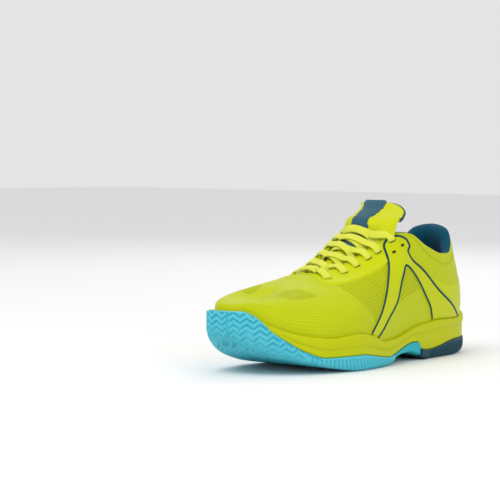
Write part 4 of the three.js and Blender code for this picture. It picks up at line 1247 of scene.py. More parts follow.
@dataclass
class Studio:
    """Camera, floor and soft lights.

    The camera's distances are in millimetres, its angles in degrees, and the floor is in metres.
    """

    azimuth: float = 130.0
    elevation: float = 2.8
    roll: float = 0.4
    distance: float = 1600.0
    aim: tuple[float, float] = (77.2, -91.3)
    lens: float = 139.97
    light_power: float = 10.5
    air_strength: float = 0.78
    floor_size: float = 6.0
    floor_height: float = -0.0004

    def camera(self) -> None:
        """Makes the camera and hands it to the scene."""
        az, el, roll = (math.radians(a) for a in (self.azimuth, self.elevation, self.roll))
        back = np.array([math.sin(az) * math.cos(el), -math.cos(az) * math.cos(el), math.sin(el)])
        right = unit(np.cross([0.0, 0.0, 1.0], back))
        up = np.cross(back, right)
        x_axis = math.cos(roll) * right + math.sin(roll) * up
        y_axis = -math.sin(roll) * right + math.cos(roll) * up
        place = SHIFT + back * self.distance - x_axis * self.aim[0] - y_axis * self.aim[1]
        lens = bpy.data.cameras.new("camera")
        lens.lens, lens.sensor_width = self.lens, 36.0
        lens.clip_start, lens.clip_end = 0.05, 30.0
        camera = bpy.data.objects.new("camera", lens)
        turned = Matrix(np.stack([x_axis, y_axis, back], 1).tolist()).to_4x4()
        camera.matrix_world = Matrix.Translation((place * MM).tolist()) @ turned
        bpy.context.scene.collection.objects.link(camera)
        bpy.context.scene.camera = camera

    def surface(self) -> None:
        """Makes the pale floor, which reaches far behind the shoe."""
        graph = Graph("pale_floor")
        place = graph.add("ShaderNodeTexCoord").outputs["Object"]
        speckle = graph.add("ShaderNodeTexNoise", Vector=place, Scale=400.0, Detail=2.0).outputs["Fac"]
        color = graph.blend(speckle, (0.86, 0.86, 0.86, 1), (0.9, 0.9, 0.9, 1))
        graph.feed(graph.shader.inputs["Base Color"], color)
        graph.shader.inputs["Roughness"].default_value = 0.9
        mesh = bpy.data.meshes.new("studio_floor")
        size, low = self.floor_size, self.floor_height
        corners = [(x * size, y * size, low) for x, y in ((-1, -1), (1, -1), (1, 1), (-1, 1))]
        mesh.from_pydata(corners, [], [(0, 1, 2, 3)])
        mesh.materials.append(graph.material)
        floor = bpy.data.objects.new("studio_floor", mesh)
        bpy.context.scene.collection.objects.link(floor)

    def light(self, name: str, place: tuple, size: float, power: float) -> None:
        """Adds a soft square light that shines at the shoe from a place in metres.

        Args:
            name: The object's name.
            place: The light's place, in metres.
            size: Its width, in metres.
            power: Its power, in watts.
        """
        lamp = bpy.data.lights.new(name, "AREA")
        lamp.size, lamp.energy = size, power
        piece = bpy.data.objects.new(name, lamp)
        back = unit(np.array(place) - [0.0, 0.0, 0.06])
        right = unit(np.cross([0.0, 0.0, 1.0], back))
        turned = Matrix(np.stack([right, np.cross(back, right), back], 1).tolist()).to_4x4()
        piece.matrix_world = Matrix.Translation(place) @ turned
        bpy.context.scene.collection.objects.link(piece)

    def build(self) -> None:
        """Makes the whole studio."""
        self.camera()
        self.surface()
        self.light("key", (1.1, -0.1, 1.5), 1.0, self.light_power)
        self.light("fill", (0.7, 1.6, 0.9), 1.4, self.light_power * 0.75)
        self.light("back", (-1.3, -0.6, 1.2), 1.2, self.light_power * 0.5)
        world = bpy.data.worlds.new("studio_air")
        world.use_nodes = True
        air = world.node_tree.nodes["Background"].inputs
        air["Color"].default_value = (1.0, 1.0, 1.0, 1.0)
        air["Strength"].default_value = self.air_strength
        bpy.context.scene.world = world
        bpy.context.scene.view_settings.view_transform = "Standard"


# ------------------------------------------------------------------ upper


@dataclass
class Upper:
    """Vamp and quarters: the knitted, film-backed shell round the foot. Sizes are in millimetres."""

    form: Form
    ridge: float = 0.2
    ridge_lines: float = 26.0
    rib_pitch: float = 2.3
    rib_high: float = 0.42
    dash: float = 4.2
    border: float = 0.7
    recess: float = 0.35
    vent_start: float = 0.137
    vent_end: float = 0.291
    dot_pitch: float = 1.9

    def contour_lines(self, s: Array, v: Array) -> Array:
        """Returns the fine lines that run round the toe."""
        inside = smooth(s, 0.31, 0.22) * smooth(v, 0.02, 0.08) * smooth(v, 0.99, 0.7)
        line = 1 - groove((v + 0.10 * s) * self.ridge_lines, 0.5)
        return (line - 1) * self.ridge * inside * (1 - self.vent_mask(s, v) * 0.999)

    def vent_mask(self, s: Array, v: Array) -> Array:
        """Returns 1 inside the lens-shaped mesh vent beside the lace opening.

        Args:
            s: Distances from the toe, 0 to 1.
            v: Places up the upper, 0 to 1.

        Returns:
            A share from 0 to 1.
        """
        t = np.clip((s - self.vent_start) / (self.vent_end - self.vent_start), 0, 1)
        middle = lerp(0.784, 0.531, t)
        belly = np.sin(np.pi * t) ** 0.8
        high = (middle + 0.17 * belly - v) / 0.03
        low = (v - middle + 0.12 * belly) / 0.03
        return np.clip(np.minimum(high, low), 0, 1) * ((s > self.vent_start) & (s < self.vent_end))

    def vent(self, s: Array, v: Array, run: Array, rise: Array) -> Array:
        """Returns the vent's relief: a sunk field of small raised dots with a lip round it."""
        mask = self.vent_mask(s, v)
        dots = np.cos(math.tau * run / self.dot_pitch) * np.cos(math.tau * rise / self.dot_pitch)
        return mask * (-self.recess + 0.28 * smooth(dots, -0.1, 0.7))

    def mesh_mask(self, s: Array, v: Array) -> Array:
        """Returns 1 on the open mesh panels: ahead of the side frame and inside its arch.

        Args:
            s: Distances from the toe, 0 to 1.
            v: Places up the upper, 0 to 1.

        Returns:
            A share from 0 to 1.
        """
        front = smooth(s - (0.345 + (0.72 - v) / 0.52 * 0.095), -0.004, 0.004)
        front = front * smooth(v, 0.79, 0.76) * smooth(s - self.form.frame_front(np.clip(v, 0, 1)), 0.01, 0.0)
        low, level = 0.329 + (s - 0.531) * 0.15, np.clip(v, 0, ARCH_TOP)
        window = smooth(v - low, -0.01, 0.01) * smooth(s - self.form.arch_front(level), -0.004, 0.004)
        window = window * smooth(s - self.form.arch_back(level), 0.004, -0.004) * smooth(v, ARCH_TOP, 0.6)
        return np.clip(front + window, 0, 1)

    def dashes(self, s: Array, v: Array, run: Array, rise: Array) -> Array:
        """Returns the broken, slanting ribs of the mesh panels.

        Args:
            s: Distances from the toe, 0 to 1.
            v: Places up the upper, 0 to 1.
            run: Lengths along, in millimetres.
            rise: Lengths up, in millimetres.

        Returns:
            Heights, in millimetres.
        """
        across = (rise * 0.82 + run * 0.57) / self.rib_pitch
        along = (run * 0.82 - rise * 0.57) / self.dash
        shifted = along + 0.5 * (np.floor(across + 0.5) % 2)
        rib = smooth(apart(across), 0.46, 0.2)
        broken = smooth(apart(shifted), 0.47, 0.36)
        return self.mesh_mask(s, v) * (rib * broken * self.rib_high - 0.12)

    def throat_border(self, s: Array, v: Array) -> Array:
        """Returns the raised border that sweeps from the eyestay down across the vamp's end."""
        at = Curve([(0.6, 0.345), (0.7, 0.322), (0.75, 0.31), (0.85, 0.285), (1.0, 0.262)])(np.clip(v, 0, 1))
        line = smooth(np.abs(s - at), 0.0075, 0.0025)
        plate = smooth(s - at, 0, 0.012) * smooth(v, 0.72, 0.8) * 0.3 * smooth(s, 0.36, 0.31)
        return (line * self.border + plate) * smooth(v, 0.6, 0.72)

    def bars(self, s: Array, v: Array) -> Array:
        """Returns the short raised bars on the medial side of the midfoot."""
        row = (v - 0.12) / 0.085
        inside = smooth(v, 0.13, 0.16) * smooth(v, 0.74, 0.7)
        span = smooth(np.abs(s - lerp(0.455, 0.50, v)), 0.032, 0.024)
        return smooth(apart(row), 0.36, 0.2) * inside * span * 0.5

    def relief(self, u: Array, v: Array) -> Array:
        """Returns the height of all the raised and sunk detail of the outer face.

        Args:
            u: Places round the shoe.
            v: Places up the upper, 0 to 1.

        Returns:
            Heights, in millimetres.
        """
        side, s = side_of(u)
        fine_u = np.linspace(0, 1, 401)
        run = np.interp(s, fine_u, travel(self.form.skin(fine_u, 0.5)))
        rise = v * RISE
        face = self.contour_lines(s, v) + self.vent(s, v, run, rise) + self.throat_border(s, v)
        flank = self.dashes(s, v, run, rise)
        medial = self.bars(s, v) * (side < 0)
        wall = (v > 0.0) * (face + flank + medial)
        return wall * smooth(v, 0.0, 0.03)

    def shaded_gap_places(self, u: Array, v: Array) -> Array:
        """Returns True at the low gaps of the mesh panels and on the vent's sunk floor, which get a darker
        lime as painted shade.
        """
        s = side_of(u)[1]
        panel = (self.mesh_mask(s, v) > 0.5) & (self.relief(u, v) < 0.06)
        vent = (self.vent_mask(s, v) > 0.5) & (self.relief(u, v) < -0.3)
        return panel | vent

    def patch(self, columns: Array, rows: Array, walls: str) -> bpy.types.Object:
        """Makes a sheet over a range of places, its outer face modelled and its inner face plain.

        Args:
            columns: Places round the shoe, one for each column.
            rows: Places up the upper, one for each row.
            walls: The borders that get a wall.

        Returns:
            The new object.
        """
        u, v = np.meshgrid(columns, rows)
        outer = self.form.skin_point(u, v, self.relief(u, v))
        inner = self.form.skin_point(u, v, -self.form.upper_wall)
        piece = shell("upper_part", outer, inner, [KNIT, LINING, MESH_GAP_PAINTED_SHADE], walls)
        count = (len(rows) - 1) * (len(columns) - 1)
        index = np.zeros(len(piece.data.polygons), np.int32)
        piece.data.polygons.foreach_get("material_index", index)
        index[index == 2] = 1
        middle_u, middle_v = (u[:-1, :-1] + u[1:, 1:]) / 2, (v[:-1, :-1] + v[1:, 1:]) / 2
        # Faces in those low gaps take the darker lime finish: painted shade in the hollows between the ribs
        # and dots.
        index[:count][self.shaded_gap_places(middle_u, middle_v).ravel()] = 2
        piece.data.polygons.foreach_set("material_index", index)
        return piece

    def build(self) -> None:
        """Makes the vamp and both quarters, knitted in one."""
        end = self.form.vamp_end
        rows = vary((-0.35, 0, 5), (0, 1, 160))
        vamp = vary((-end, 0, 190), (0, end, 210))
        quarter = vary((end, 0.34, 30), (0.34, 0.66, 420), (0.66, 1, 90))
        parts = [
            self.patch(vamp, rows, "bottom"), self.patch(quarter, rows, "bottom top"),
            self.patch(-quarter[::-1], rows, "bottom top"),
        ]
        piece = joined("upper_knit_shell", parts, weld=0.02)
        settle(piece, Body.SHOE, ["vamp", "toe_film", "quarter_lateral", "quarter_medial"])


# ------------------------------------------------------------------ film pieces and edge lines


def film(
    name: str, patches: Sequence[tuple[Array, Array]], high: Surface, finish: Finish, form: Form,
) -> bpy.types.Object:
    """Makes a thin moulded piece that lies on the upper.

    Args:
        name: The object's name.
        patches: Grids of u and v; patches that share places grow together.
        high: Height over the skin, in millimetres, as a function of u and v.
        finish: The film's finish.
        form: The shape it lies on.

    Returns:
        The new object.
    """
    places = np.concatenate([np.stack([u.ravel(), v.ravel()], -1) for u, v in patches])
    places, ids = np.unique(np.round(places, 6), axis=0, return_inverse=True)
    ids = ids.ravel()
    starts = np.cumsum([0] + [u.size for u, _ in patches])
    faces = np.concatenate([
        quads(ids[start:start + u.size].reshape(u.shape)) for start, (u, _) in zip(starts, patches)
    ])
    u, v = places.T
    outer = form.skin_point(u, v, high(u, v))
    inner = form.skin_point(u, v, -0.3)
    count = len(places)
    edges = np.concatenate([np.stack([faces[:, k], faces[:, (k + 1) % 4]], -1) for k in range(4)])
    codes = edges[:, 0] * count + edges[:, 1]
    border = edges[~np.isin(codes, edges[:, 1] * count + edges[:, 0])]
    walls = np.stack([border[:, 1], border[:, 0], border[:, 0] + count, border[:, 1] + count], -1)
    all_faces = np.concatenate([faces, faces[:, ::-1] + count, walls])
    run = np.stack([u * ROUND, v * RISE], -1) * MM
    return new_mesh(name, np.concatenate([outer, inner]), all_faces, np.tile(run, (2, 1)), [finish])


LACED_EYELETS = ((0.327, 0.86), (0.391, 0.9), (0.441, 0.913), (0.49, 0.925), (0.528, 0.926), (0.586, 0.944))
SPARE_EYELETS = ((0.572, 0.845), (0.611, 0.849))


@dataclass
class Overlays:
    """Eyestays, side frames, edge lines, heel pieces and lace slots. Sizes are in millimetres."""

    form: Form
    high: float = 0.8
    edge: float = 1.3
    line_width: float = 2.1
    line_high: float = 1.0
    middle: float = 0.592
    stay_start: float = 0.304
    stay_end: float = 0.553
    stay_low: Curve = Curve([(0.3, 0.80), (0.33, 0.765), (0.4, 0.76), (0.5, 0.772), (0.56, 0.79)])
    heel_top: float = 0.46
    heel_start: float = 0.002
    patch_middle: float = 0.72
    patch_half: tuple[float, float] = (0.075, 0.18)
    laced_size: tuple[float, float] = (7.6, 3.0)
    spare_size: tuple[float, float] = (4.6, 2.3)

    def border_fade(self, u: Array, v: Array, starts: Sequence[Curve], ends: Sequence[Curve]) -> Array:
        """Returns 0 on the given side borders and 1 an edge's width away from them."""
        s = side_of(u)[1]
        away = [np.abs(s - border(np.clip(v, 0, 1))) * ROUND for border in (*starts, *ends)]
        return smooth(np.min(away, axis=0), 0, self.edge)

    def frame_high(self, u: Array, v: Array) -> Array:
        """Returns the side frame's height over the skin.

        Args:
            u: Places round the shoe.
            v: Places up the upper, 0 to 1.

        Returns:
            Heights, in millimetres.
        """
        form = self.form
        s = side_of(u)[1]
        outline = self.border_fade(u, v, [form.frame_front], [form.frame_back])
        level = np.clip(v, 0, ARCH_TOP)
        arch = np.minimum(np.abs(s - form.arch_front(level)), np.abs(s - form.arch_back(level)))
        above = np.maximum(v - ARCH_TOP, 0) * RISE
        gap = np.hypot(np.where(v < ARCH_TOP, arch, np.abs(s - self.middle)) * ROUND, above)
        ends = smooth(np.minimum(v, TOP - v) * RISE, 0, self.edge)
        return 0.1 + self.high * outline * smooth(gap, 0, self.edge) * ends

    def stay_high(self, u: Array, v: Array) -> Array:
        """Returns the eyestay's height: a raised lower border that eases down towards the laces.

        Args:
            u: Places round the shoe.
            v: Places up the upper, 0 to 1.

        Returns:
            Heights, in millimetres.
        """
        s = side_of(u)[1]
        low = (v - self.stay_low(s)) * RISE
        ends = smooth((TOP - v) * RISE, 0, self.edge) * smooth((s - self.stay_start) * ROUND, 0, 2.5)
        ridge = np.exp(-(((low - 1.6) / 1.3) ** 2)) * 0.5
        return 0.1 + (0.6 + ridge) * smooth(low, 0, 1.3) * ends

    def heel_high(self, u: Array, v: Array) -> Array:
        """Returns the heel overlay's height."""
        begin = (side_of(u)[1] - self.form.frame_back(np.clip(v, 0, 1)) - self.heel_start) * ROUND
        return 0.08 + 0.4 * smooth(begin, 0, 2.5) * smooth((self.heel_top - v) * RISE, 0, 2.5)

    def patch_high(self, u: Array, v: Array) -> Array:
        """Returns the heel patch's height, soft at its rounded border."""
        x, y = (u - 1) / self.patch_half[0], (v - self.patch_middle) / self.patch_half[1]
        return 0.05 + 0.5 * smooth((np.abs(x) ** 3 + np.abs(y) ** 3) ** (1 / 3), 1.0, 0.8)

    def frames(self) -> None:
        """Makes the A-shaped film of both sides."""
        form = self.form
        rows = vary((0.0, ARCH_TOP, 70), (ARCH_TOP, TOP, 46))[:, None]
        shares = np.linspace(0, 1, 26)[None]
        low = np.minimum(rows, ARCH_TOP)
        inner_front = np.where(rows < ARCH_TOP, form.arch_front(low), self.middle)
        inner_back = np.where(rows < ARCH_TOP, form.arch_back(low), self.middle)
        legs = [
            (form.frame_front(rows), inner_front), (inner_back, form.frame_back(rows)),
        ]
        for side, name in ((1, "lateral"), (-1, "medial")):
            patches = []
            for start, end in legs:
                s = lerp(start, end, shares)
                s = s if side > 0 else -s[:, ::-1]
                patches.append((s, np.broadcast_to(rows, s.shape)))
            piece = film(f"side_frame_film_{name}", patches, self.frame_high, FILM, form)
            settle(piece, Body.SHOE, [f"side_frame_{name}"])

    def eyestays(self) -> None:
        """Makes the film along both sides of the lace opening."""
        form = self.form
        for side, name in ((1, "lateral"), (-1, "medial")):
            s = np.linspace(self.stay_start, self.stay_end, 150)[None]
            v = lerp(self.stay_low(s), TOP, np.linspace(0, 1, 40)[:, None])
            s = np.minimum(np.broadcast_to(s, v.shape), form.frame_front(np.clip(v, 0, 1)) - 0.0008)
            if side < 0:
                s, v = -s[:, ::-1], v[:, ::-1]
            piece = film(f"eyestay_film_{name}", [(s, v)], self.stay_high, EYE_FILM, form)
            settle(piece, Body.SHOE, [f"eyestay_{name}"])

    def heel(self) -> None:
        """Makes the heel overlay and the patch under the collar's back."""
        form = self.form
        rows = np.linspace(0.0, self.heel_top, 40)[:, None]
        start = form.frame_back(rows) + self.heel_start
        u = lerp(start, 2 - start, np.linspace(0, 1, 150)[None])
        piece = film("heel_film", [(u, np.broadcast_to(rows, u.shape))], self.heel_high, FILM, form)
        settle(piece, Body.SHOE, ["heel_overlay"])
        wide, tall = self.patch_half
        columns = np.linspace(1 - wide, 1 + wide, 60)
        u, v = np.meshgrid(columns, np.linspace(self.patch_middle - tall, self.patch_middle + tall, 50))
        piece = film("heel_patch", [(u, v)], self.patch_high, EYE_FILM, form)
        settle(piece, Body.SHOE, ["heel_tab"])

    def line(self, name: str, path: Array, finish: Finish, side: int) -> bpy.types.Object:
        """Makes a raised bead along a path of (s, v) places.

        Args:
            name: The object's name.
            path: Places (s, v) that it follows.
            finish: The piece's finish.
            side: +1 lateral, -1 medial.

        Returns:
            The new object.
        """
        u, v = path[:, 0] * side, path[:, 1]
        lift = self.high + 0.1 * self.line_high
        at, place = resample(self.form.skin_point(u, v, lift), 1.0)
        out = self.form.normal(u, v)
        ups = unit(between(place, np.arange(len(path)), out))
        across = np.cross(ups, np.gradient(at, axis=0))
        turn = circle(12)
        section = np.stack([np.cos(turn) * self.line_width / 2, np.sin(turn) * self.line_high / 2], -1)
        end_fade = np.clip(np.minimum(np.arange(len(at)), np.arange(len(at))[::-1]) / 2.0, 0.25, 1) ** 0.5
        rings = strap_rings(at, across, section[None] * end_fade[:, None, None])
        return sweep(name, rings, [finish])

    def lines(self) -> None:
        """Makes the edge lines: dark ones on the lateral side, lime ones on the medial side."""
        form = self.form
        up = np.linspace(0.01, 0.93, 30)
        down = np.linspace(0.9, 0.01, 34)
        outline = np.concatenate([
            np.stack([form.frame_front(up) + 0.004, up], -1),
            [[0.561, 0.96], [0.575, 0.975], [0.592, 0.972], [0.606, 0.962], [0.618, 0.95], [0.63, 0.93]],
            np.stack([form.frame_back(down) - 0.004, down], -1),
        ])
        rise = np.linspace(0.01, 0.585, 18)
        arch = np.concatenate([
            np.stack([form.arch_front(rise) - 0.004, rise], -1), [[0.5905, 0.655]],
            np.stack([form.arch_back(rise[::-1]) + 0.004, rise[::-1]], -1),
        ])
        piece = self.line("frame_outline_lateral", outline, EDGE_LINE, 1)
        settle(piece, Body.SHOE, ["frame_piping_front", "frame_piping_back"])
        piece = self.line("frame_arch_lateral", arch, EDGE_LINE, 1)
        settle(piece, Body.SHOE, ["frame_piping_arch"])
        settle(self.line("frame_outline_medial", outline, TONE_LINE, -1))
        settle(self.line("frame_arch_medial", arch, TONE_LINE, -1))

    def slot(self, side: int, s: float, v: float, size: tuple[float, float]) -> list[bpy.types.Object]:
        """Makes one lace slot: a low rim with a dark disc as its floor, a painted shadow of the hole.

        Args:
            side: +1 lateral, -1 medial.
            s: Distance from the toe.
            v: Place up the upper.
            size: Length and width, in millimetres.

        Returns:
            The rim and its dark disc, the painted shadow.
        """
        form = self.form
        out, up, along = form.axes(np.float64(side * s), np.float64(v))
        turn = circle(24)
        shape = np.stack([np.sign(np.cos(turn)) * np.abs(np.cos(turn)) ** 0.7, np.sin(turn)], -1)
        centre = form.skin(np.float64(side * s), np.float64(v))
        rings = []
        top = self.high
        lifts = (0.2, top + 0.25, top + 0.5, top + 0.4, top + 0.12)
        for grow, lift in zip((0.9, 0.85, 0.55, 0.15, 0.0), lifts):
            flat = shape * (np.array(size) / 2 + grow)
            rings.append(centre + flat[:, :1] * along + flat[:, 1:] * up + out * lift)
        # The dark disc is painted shadow: it stands for the shade down in the slot.
        floor = centre + shape[:, :1] * size[0] / 2 * along + shape[:, 1:] * size[1] / 2 * up
        floor = floor + out * (top + 0.13)
        base = floor - out * 0.5
        rim = sweep("slot_rim", np.array(rings), [EYE_FILM])
        dark = sweep("slot_painted_shadow", np.array([base, floor]), [SHADOW])
        return [rim, dark]

    def slots(self) -> None:
        """Makes the lace slots of both sides."""
        rims, floors = [], []
        kinds = ((LACED_EYELETS, self.laced_size), (SPARE_EYELETS, self.spare_size))
        for side in (1, -1):
            for eyelets, size in kinds:
                for s, v in eyelets:
                    rim, dark = self.slot(side, s, v, size)
                    rims.append(rim)
                    floors.append(dark)
        settle(joined("slot_rims", rims))
        # The dark discs: painted shadow inside every slot.
        settle(joined("slot_painted_shadows", floors))

    def build(self) -> None:
        """Makes all the pieces that lie on the upper."""
        self.eyestays()
        self.frames()
        self.heel()
        self.lines()
        self.slots()


# ------------------------------------------------------------------ collar and footbed


@dataclass
class Collar:
    """Padded lining that rolls over the ankle opening, and its seam. Sizes are in millimetres."""

    form: Form
    start: float = 0.6
    padding: float = 7.6
    stitch: float = 1.9
    stitch_gap: float = 0.8

    def section(self, u: Array) -> Array:
        """Returns the closed profile at each place, as points round it by places.

        Args:
            u: Places round the shoe.

        Returns:
            Rings of points, round the section by places.
        """
        s = side_of(u)[1]
        full = smooth(s, self.start, 0.69)
        profile = [
            (0.995, -0.1, 0.0), (1.004, 0.2, 0.02), (1.012, -0.8, 0.1), (1.012, -1.8, 0.25),
            (1.002, -2.0, 0.55), (0.975, -2.0, 0.78), (0.94, -2.0, 0.93), (0.89, -2.0, 1.0),
            (0.82, -2.0, 1.0), (0.74, -2.0, 0.93),
            (0.66, -2.0, 0.8), (0.58, -2.0, 0.6), (0.5, -2.0, 0.4), (0.42, -2.0, 0.26), (0.32, -2.0, 0.22),
            (0.2, -2.0, 0.22), (0.06, -2.0, 0.22), (0.05, -1.9, 0.0), (0.5, -1.9, 0.0), (0.97, -1.9, 0.0),
            (0.99, -1.2, 0.0),
        ]
        knots = np.arange(len(profile) + 1, dtype=float)
        table = np.array([*profile, profile[0]])
        fine = np.linspace(0, len(profile), 96, endpoint=False)
        v, lift, share = (catmull(knots, table[:, k], fine) for k in range(3))
        rolled = np.clip(v - 1, 0, None)
        depth = lift[:, None] - np.maximum(share, 0)[:, None] * lerp(1.4, self.padding, full)
        points = self.form.skin_point(u[None], np.minimum(v, 1)[:, None], depth)
        up = self.form.axes(u, np.full_like(u, 0.99))[1]
        return points + up[None] * (rolled * RISE)[:, None, None]

    def seam(self) -> None:
        """Makes the stitched seam that curves round the heel under the collar."""
        form = self.form
        s = np.array([0.655, 0.675, 0.70, 0.73, 0.77, 0.81, 0.85, 0.89, 0.93, 0.97])
        v = np.array([0.985, 0.93, 0.875, 0.835, 0.82, 0.835, 0.86, 0.885, 0.90, 0.91])
        u = np.concatenate([s, 2 - s[::-1]])
        v = np.concatenate([v, v[::-1]])
        at, place = resample(form.skin_point(u, v, 0.15), 0.8)
        out = form.normal(u, v)
        outs = between(place, np.arange(len(u)), out)
        settle(stitches("collar_seam_stitches", at, outs, self.stitch, self.stitch_gap))

    def build(self) -> None:
        """Makes the collar's padded lining and its seam."""
        u = vary((self.start, 0.72, 60), (0.72, 1.28, 220), (1.28, 2 - self.start, 60))
        rings = self.section(u).transpose(1, 0, 2)
        piece = sweep("collar_padded_lining", rings, [LINING])
        settle(piece, Body.SHOE, ["collar_lining", "collar_foam"])
        self.seam()


@dataclass
class Footbed:
    """Removable sockliner over the insole board. Sizes are in millimetres."""

    form: Form
    raised: float = 2.7
    thickness: float = 4.0
    clearance: float = 1.4
    stiffener_rows: tuple[float, float] = (0.03, 0.46)
    stiffener_depth: float = 2.15

    def build(self) -> None:
        """Makes the sockliner, its edge a little cupped."""
        form = self.form
        columns = vary((-1, 1, 300))
        reach = np.linspace(0, 1, 50)[:, None]
        inset = form.feather_inset(side_of(columns)[1]) + form.skirt_tuck + form.upper_wall + self.clearance
        cup = 1.6 * smooth(reach, 0.8, 1.0) * smooth(side_of(columns)[1], 0.35, 0.6)
        edge = smooth(reach, 0.975, 1.0)
        top = form.floor_point(columns, reach, inset, form.bed)
        base = top.copy()
        top[..., 2] += self.raised + self.thickness - edge * 1.2 + cup
        base[..., 2] += self.raised + edge * 0.8
        piece = shell("sockliner_pad", top, base, [SOCK_FABRIC, BOARD], "top", weld=0.02)
        settle(piece, Body.SOCKLINER, ["sockliner"])
        dress("insole_board", BOARD)
        self.stiffener("toe_stiffener", vary((-0.21, 0.21, 90)), "toe_puff")
        self.stiffener("heel_stiffener", vary((0.72, 1.28, 110)), "heel_counter")

    def stiffener(self, name: str, columns: Array, node: str) -> None:
        """Makes a moulded board behind the upper, thinner towards its edges.

        Args:
            name: The object's name.
            columns: Places round the shoe, one for each column.
            node: The CAD node it stands for.
        """
        low, high = self.stiffener_rows
        u, v = np.meshgrid(columns, np.linspace(low, high, 30))
        x = 2 * (u - columns[0]) / (columns[-1] - columns[0]) - 1
        y = (v - low) / (high - low)
        thin = 0.25 + 0.95 * smooth(np.maximum(np.abs(x), y), 1.0, 0.85)
        outer = self.form.skin_point(u, v, -self.stiffener_depth)
        inner = self.form.skin_point(u, v, -self.stiffener_depth - thin)
        settle(shell(name, outer, inner, [BOARD]), Body.SHOE, [node])


def dress(node: str, finish: Finish) -> None:
    """Gives a CAD node that stays visible its finish."""
    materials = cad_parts[node].data.materials
    materials.clear()
    materials.append(finish.material())
    log.info("%s keeps its CAD shape, dressed as %s", node, finish.name)


# ------------------------------------------------------------------ tongue and lace


